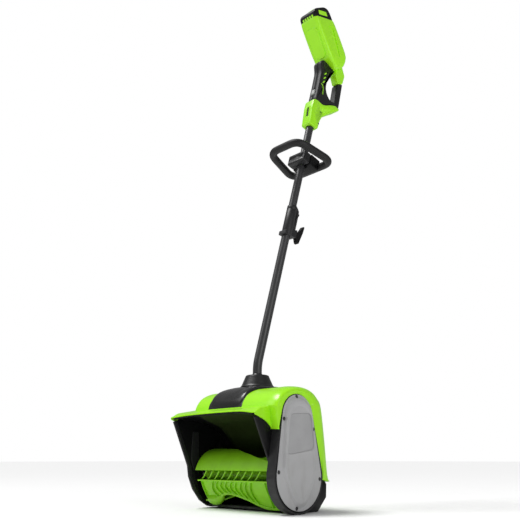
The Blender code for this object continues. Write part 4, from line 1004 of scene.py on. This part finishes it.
def build_grip():
    """Soft-covered grip halves with the trigger, its lock and a few raised accent lines."""
    for name, side in (("grip_left", 1), ("grip_right", -1)):
        half = pillow(name + "_skin", HANDLE, GRIP_HALF, POLE, 0.0026, 0.0095, 0.009)
        lo, hi = sorted((side * -0.1, side * FIT / 2))
        carve(half, slab("half_tool", rect(-0.1, 0.05, 0.1, 0.35), lo, hi, POLE, 0.0))
        room = [(-0.011, 0.158), (0.03, 0.158), (0.03, 0.222), (0.004, 0.224), (-0.011, 0.224)]
        carve(half, slab("room_tool", room, -0.0078, 0.0078, POLE, 0.0))
        lock = rect(-0.03, LOCK_S - 0.0105, -0.008, LOCK_S + 0.0105)
        carve(half, slab("lock_tool", lock, -0.0068, 0.0068, POLE, 0.0))
        piece(half, GRIP, name)
    for k in range(3):
        s = 0.186 + 0.018 * k
        slash = [(-0.0035, s), (0.0015, s + 0.001), (0.007, s + 0.0135), (0.0022, s + 0.012)]
        lo, hi = GRIP_HALF - 0.002, GRIP_HALF + 0.0004
        piece(slab("accent_%d" % (k + 1), slash, lo, hi, POLE, 0.0003, 2, 0.001), LIME)
    bm = bmesh.new()
    line = [(-0.012, 0.18, -0.0024), (-0.005, 0.179, 0.0), (0.002, 0.174, 0.0), (0.006, 0.165, 0.0),
            (0.007, 0.153, 0.0), (0.009, 0.144, 0.0)]
    path = [at(POLE, t, s, GRIP_HALF + x - 0.0003) for t, s, x in line]
    sweep(bm, path, circle(0.0014, 10), AXIS_X)
    piece(object_from(bm, "accent_line"), LIME)
    trigger = [(0.006, 0.2195), (0.013, 0.22), (0.0178, 0.215), (0.021, 0.2), (0.0235, 0.182),
               (0.0215, 0.164), (0.015, 0.162), (0.0105, 0.17), (0.009, 0.198), (0.0055, 0.214)]
    trigger = slab("trigger_skin", trigger, -0.007, 0.007, POLE, 0.0016, 4, 0.003)
    piece(trigger, DARK, "trigger", body="trigger_body")
    lock = [(-0.0205, LOCK_S - 0.008), (-0.018, LOCK_S - 0.0098), (-0.0125, LOCK_S - 0.0098),
            (-0.0125, LOCK_S + 0.0098), (-0.018, LOCK_S + 0.0098), (-0.0205, LOCK_S + 0.008)]
    piece(slab("lock_button_skin", lock, -0.006, 0.006, POLE, 0.0012, 3, 0.0015), PALE_GREY,
          "lock_button", body="lock_button_body")


def build_guard():
    outline = [(0.0702, 0.1444), (0.0908, 0.1444), (0.093, 0.156), (0.0895, 0.256), (0.0665, 0.24),
               (0.069, 0.18)]
    piece(pillow("guard_skin", outline, GUARD_HALF, POLE, 0.0024, 0.0075, 0.006), GRIP, "guard_bar")


def build_housing():
    """Battery housing: a soft-shouldered body with a side recess, a front pad and the guard root."""
    shape = [(-0.03, 0.01, 0.044, 0.014), (-0.0288, 0.006, 0.05, 0.022), (-0.023, 0.001, 0.059, 0.029),
             (-0.012, -0.005, 0.069, 0.0335), (0.002, -0.0103, 0.078, 0.036),
             (0.016, -0.013, 0.08, 0.0369), (0.04, -0.0144, 0.0803, 0.0373),
             (0.07, -0.0149, 0.0803, 0.0375), (0.1, -0.0148, 0.0803, 0.0373),
             (0.124, -0.0145, 0.0802, 0.0369), (0.136, -0.014, 0.0798, 0.0363),
             (0.14, -0.013, 0.0788, 0.0356)]
    rings = []
    for h, near, far, half in shape:
        slant = -0.26 * max(0.0, (h - 0.055) / 0.085) ** 1.5
        corner = min(0.0135, half * 0.62)
        box = rounded(rect(near, -half, far, half), corner, 8)
        rings.append([at(HEAD, k, h + slant * (k - 0.03), x) for k, x in box])
    housing = solid("housing_skin", rings)
    seat = [(-0.07, 0.21), (0.0404, 0.21), (0.0404, 0.2704), (-0.019, 0.2774), (-0.03, 0.2604),
            (-0.07, 0.26)]
    carve(housing, slab("seat_tool", seat, -0.05, 0.05, POLE, 0.0))
    room = rect(-0.0115, 0.015, 0.077, 0.18)
    carve(housing, pillow("room_tool", room, 0.034, HEAD, 0.0055, 0.0055, 0.008))
    recess = [(0.018, 0.01), (0.036, 0.004), (0.056, 0.108), (0.032, 0.112)]
    carve(housing, slab("recess_tool", recess, HOUSING_HALF - 0.002, 0.05, HEAD, 0.0, 1, 0.006))
    soften(housing, 0.0009, 3, 30)
    piece(housing, LIME, "battery_housing")
    root = [(0.067, 0.242), (0.089, 0.2562), (0.092, 0.295), (0.07, 0.325), (0.042, 0.3),
            (0.048, 0.27)]
    piece(slab("guard_root", root, -0.0135, 0.0135, POLE, 0.005, 4, 0.006), LIME)
    front = basis(AXIS_X, AXIS_H, AXIS_K, HOUSING_O)
    outline = [(-0.021, 0.022), (0.012, 0.016), (0.021, 0.034), (0.024, 0.118), (-0.023, 0.122)]
    pad = slab("housing_pad", outline, -0.0178, -0.014, front, 0.003, 5, 0.014)
    piece(pad, LIME)


def build_battery():
    """Slide-in pack: black ends with a lime ribbed middle, and its latch."""
    half = HOUSING_HALF - 0.0033
    outline = [(-0.0112, 0.025), (0.0767, 0.025), (0.0767, 0.155), (0.072, 0.172), (0.056, 0.18),
               (0.006, 0.178), (-0.007, 0.17), (-0.0112, 0.16)]
    pack = pillow("pack_skin", outline, half, HEAD, 0.0058, 0.0058, 0.01)
    carve(pack, slab("pocket_tool", rect(0.018, 0.1728, 0.042, 0.19), -0.0125, 0.0125, HEAD, 0.0))
    piece(pack, BLACK, "battery_pack", body="battery_body")
    band = rect(-0.0119, 0.144, -0.0105, 0.16)
    for k in range(5):
        x = -0.0215 + 0.0095 * k
        rib = slab("pack_rib_%d" % (k + 1), band, x, x + 0.0062, HEAD, 0.0004, 2)
        piece(rib, LIME, body="battery_body")
    side = [(0.01, 0.1545), (0.052, 0.145), (0.052, 0.161), (0.013, 0.169)]
    panel = slab("pack_panel", side, half - 0.0004, half + 0.0007, HEAD, 0.0004, 2, 0.003)
    piece(panel, LIME, body="battery_body")
    latch = [(0.0185, 0.1764), (0.0415, 0.1764), (0.0415, 0.18), (0.036, 0.1832), (0.024, 0.1832),
             (0.0185, 0.18)]
    latch = slab("latch_skin", latch, -0.012, 0.012, HEAD, 0.0008, 3, 0.001)
    piece(latch, LIME, "battery_latch", body="battery_latch_body")


# ---------------------------------------------------------------- pieces kept from the CAD
KEPT = {
    "bearing_left": STEEL, "bearing_right": STEEL, "belt_case": DARK, "controller_board": BOARD,
    "drive_belt": BELT, "knob_bolt": STEEL, "loop_screw_left": BLACK_STEEL, "loop_screw_right": BLACK_STEEL,
    "motor": CAN, "motor_bracket": ZINC, "motor_pulley": STEEL, "motor_shaft": STEEL, "pole_socket": BLACK,
    "rotor_pulley": PALE_GREY, "rotor_shaft": STEEL, "scraper_bar": SCRAPER, "socket_screw_1": BLACK_STEEL,
    "socket_screw_2": BLACK_STEEL, "terminal_block": BLACK, "trigger_pin": STEEL, "trigger_switch": BLACK,
}


def dress_kept():
    for name, finish in KEPT.items():
        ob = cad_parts[name]
        for slot in ob.material_slots:
            slot.material = finish


# ---------------------------------------------------------------- studio
def build_floor():
    bm = bmesh.new()
    reach, count = 30.0, 8
    rows = [[Vector((-reach + 2 * reach * i / count, -reach + 2 * reach * j / count, 0.0))
             for i in range(count + 1)] for j in range(count + 1)]
    strip_faces(bm, rows, False)
    floor = object_from(bm, "studio_floor")
    s = Shader("floor_paint", (0.93, 0.93, 0.93), 0.75, 0.0, 0.2)
    floor.data.materials.append(s.finish(s.colours(3.0, 0.003), 200.0, 0.02, 0.05))


def area_light(name, place, aim, size, power):
    light = bpy.data.lights.new(name, "AREA")
    light.shape = "DISK"
    light.size = size
    light.energy = power
    ob = bpy.data.objects.new(name, light)
    ob.location = place
    ob.rotation_euler = (Vector(aim) - Vector(place)).to_track_quat("-Z", "Y").to_euler()
    bpy.context.scene.collection.objects.link(ob)


def sun_light(name, come_from, strength):
    """Broad even key light, the same all over the floor."""
    light = bpy.data.lights.new(name, "SUN")
    light.angle = math.radians(24.0)
    light.energy = strength
    ob = bpy.data.objects.new(name, light)
    ob.rotation_euler = (-Vector(come_from)).to_track_quat("-Z", "Y").to_euler()
    bpy.context.scene.collection.objects.link(ob)


def build_world():
    """White surround for the camera, dimmer for the light that it sheds."""
    world = bpy.data.worlds.new("studio")
    bpy.context.scene.world = world
    world.use_nodes = True
    tree = world.node_tree
    back = tree.nodes["Background"]
    back.inputs["Color"].default_value = (1.0, 1.0, 1.0, 1.0)
    seen = tree.nodes.new("ShaderNodeLightPath").outputs["Is Camera Ray"]
    level = tree.nodes.new("ShaderNodeMapRange")
    level.inputs["To Min"].default_value = 0.3
    level.inputs["To Max"].default_value = 1.0
    tree.links.new(seen, level.inputs["Value"])
    tree.links.new(level.outputs["Result"], back.inputs["Strength"])


def build_camera():
    data = bpy.data.cameras.new("camera")
    data.lens = 45.08
    data.sensor_width = 36.0
    camera = bpy.data.objects.new("camera", data)
    turn, tip = math.radians(46.15), math.radians(-17.0)
    look = Vector((-math.sin(turn) * math.cos(tip), math.cos(turn) * math.cos(tip), -math.sin(tip)))
    camera.location = (1.197, -1.169, 0.115)
    camera.rotation_euler = look.to_track_quat("-Z", "Y").to_euler()
    bpy.context.scene.collection.objects.link(camera)
    bpy.context.scene.camera = camera


for build in (build_hood, build_visor, build_saddle, build_boot, build_plates, build_drum, build_skid,
              build_cover, build_rotor, build_tubes, build_coupler, build_loop, build_socket, build_grip,
              build_guard, build_housing, build_battery, dress_kept, build_floor):
    build()
sun_light("key", come_from=(-0.8, -0.8, 2.4), strength=2.5)
area_light("softbox", place=(-1.4, -1.9, 2.0), aim=(0.0, 0.0, 0.6), size=1.2, power=9.0)
area_light("fill", place=(2.6, -0.4, 1.4), aim=(0.0, 0.0, 0.5), size=2.0, power=21.0)
build_world()
build_camera()
bpy.context.scene.view_settings.view_transform = "Standard"
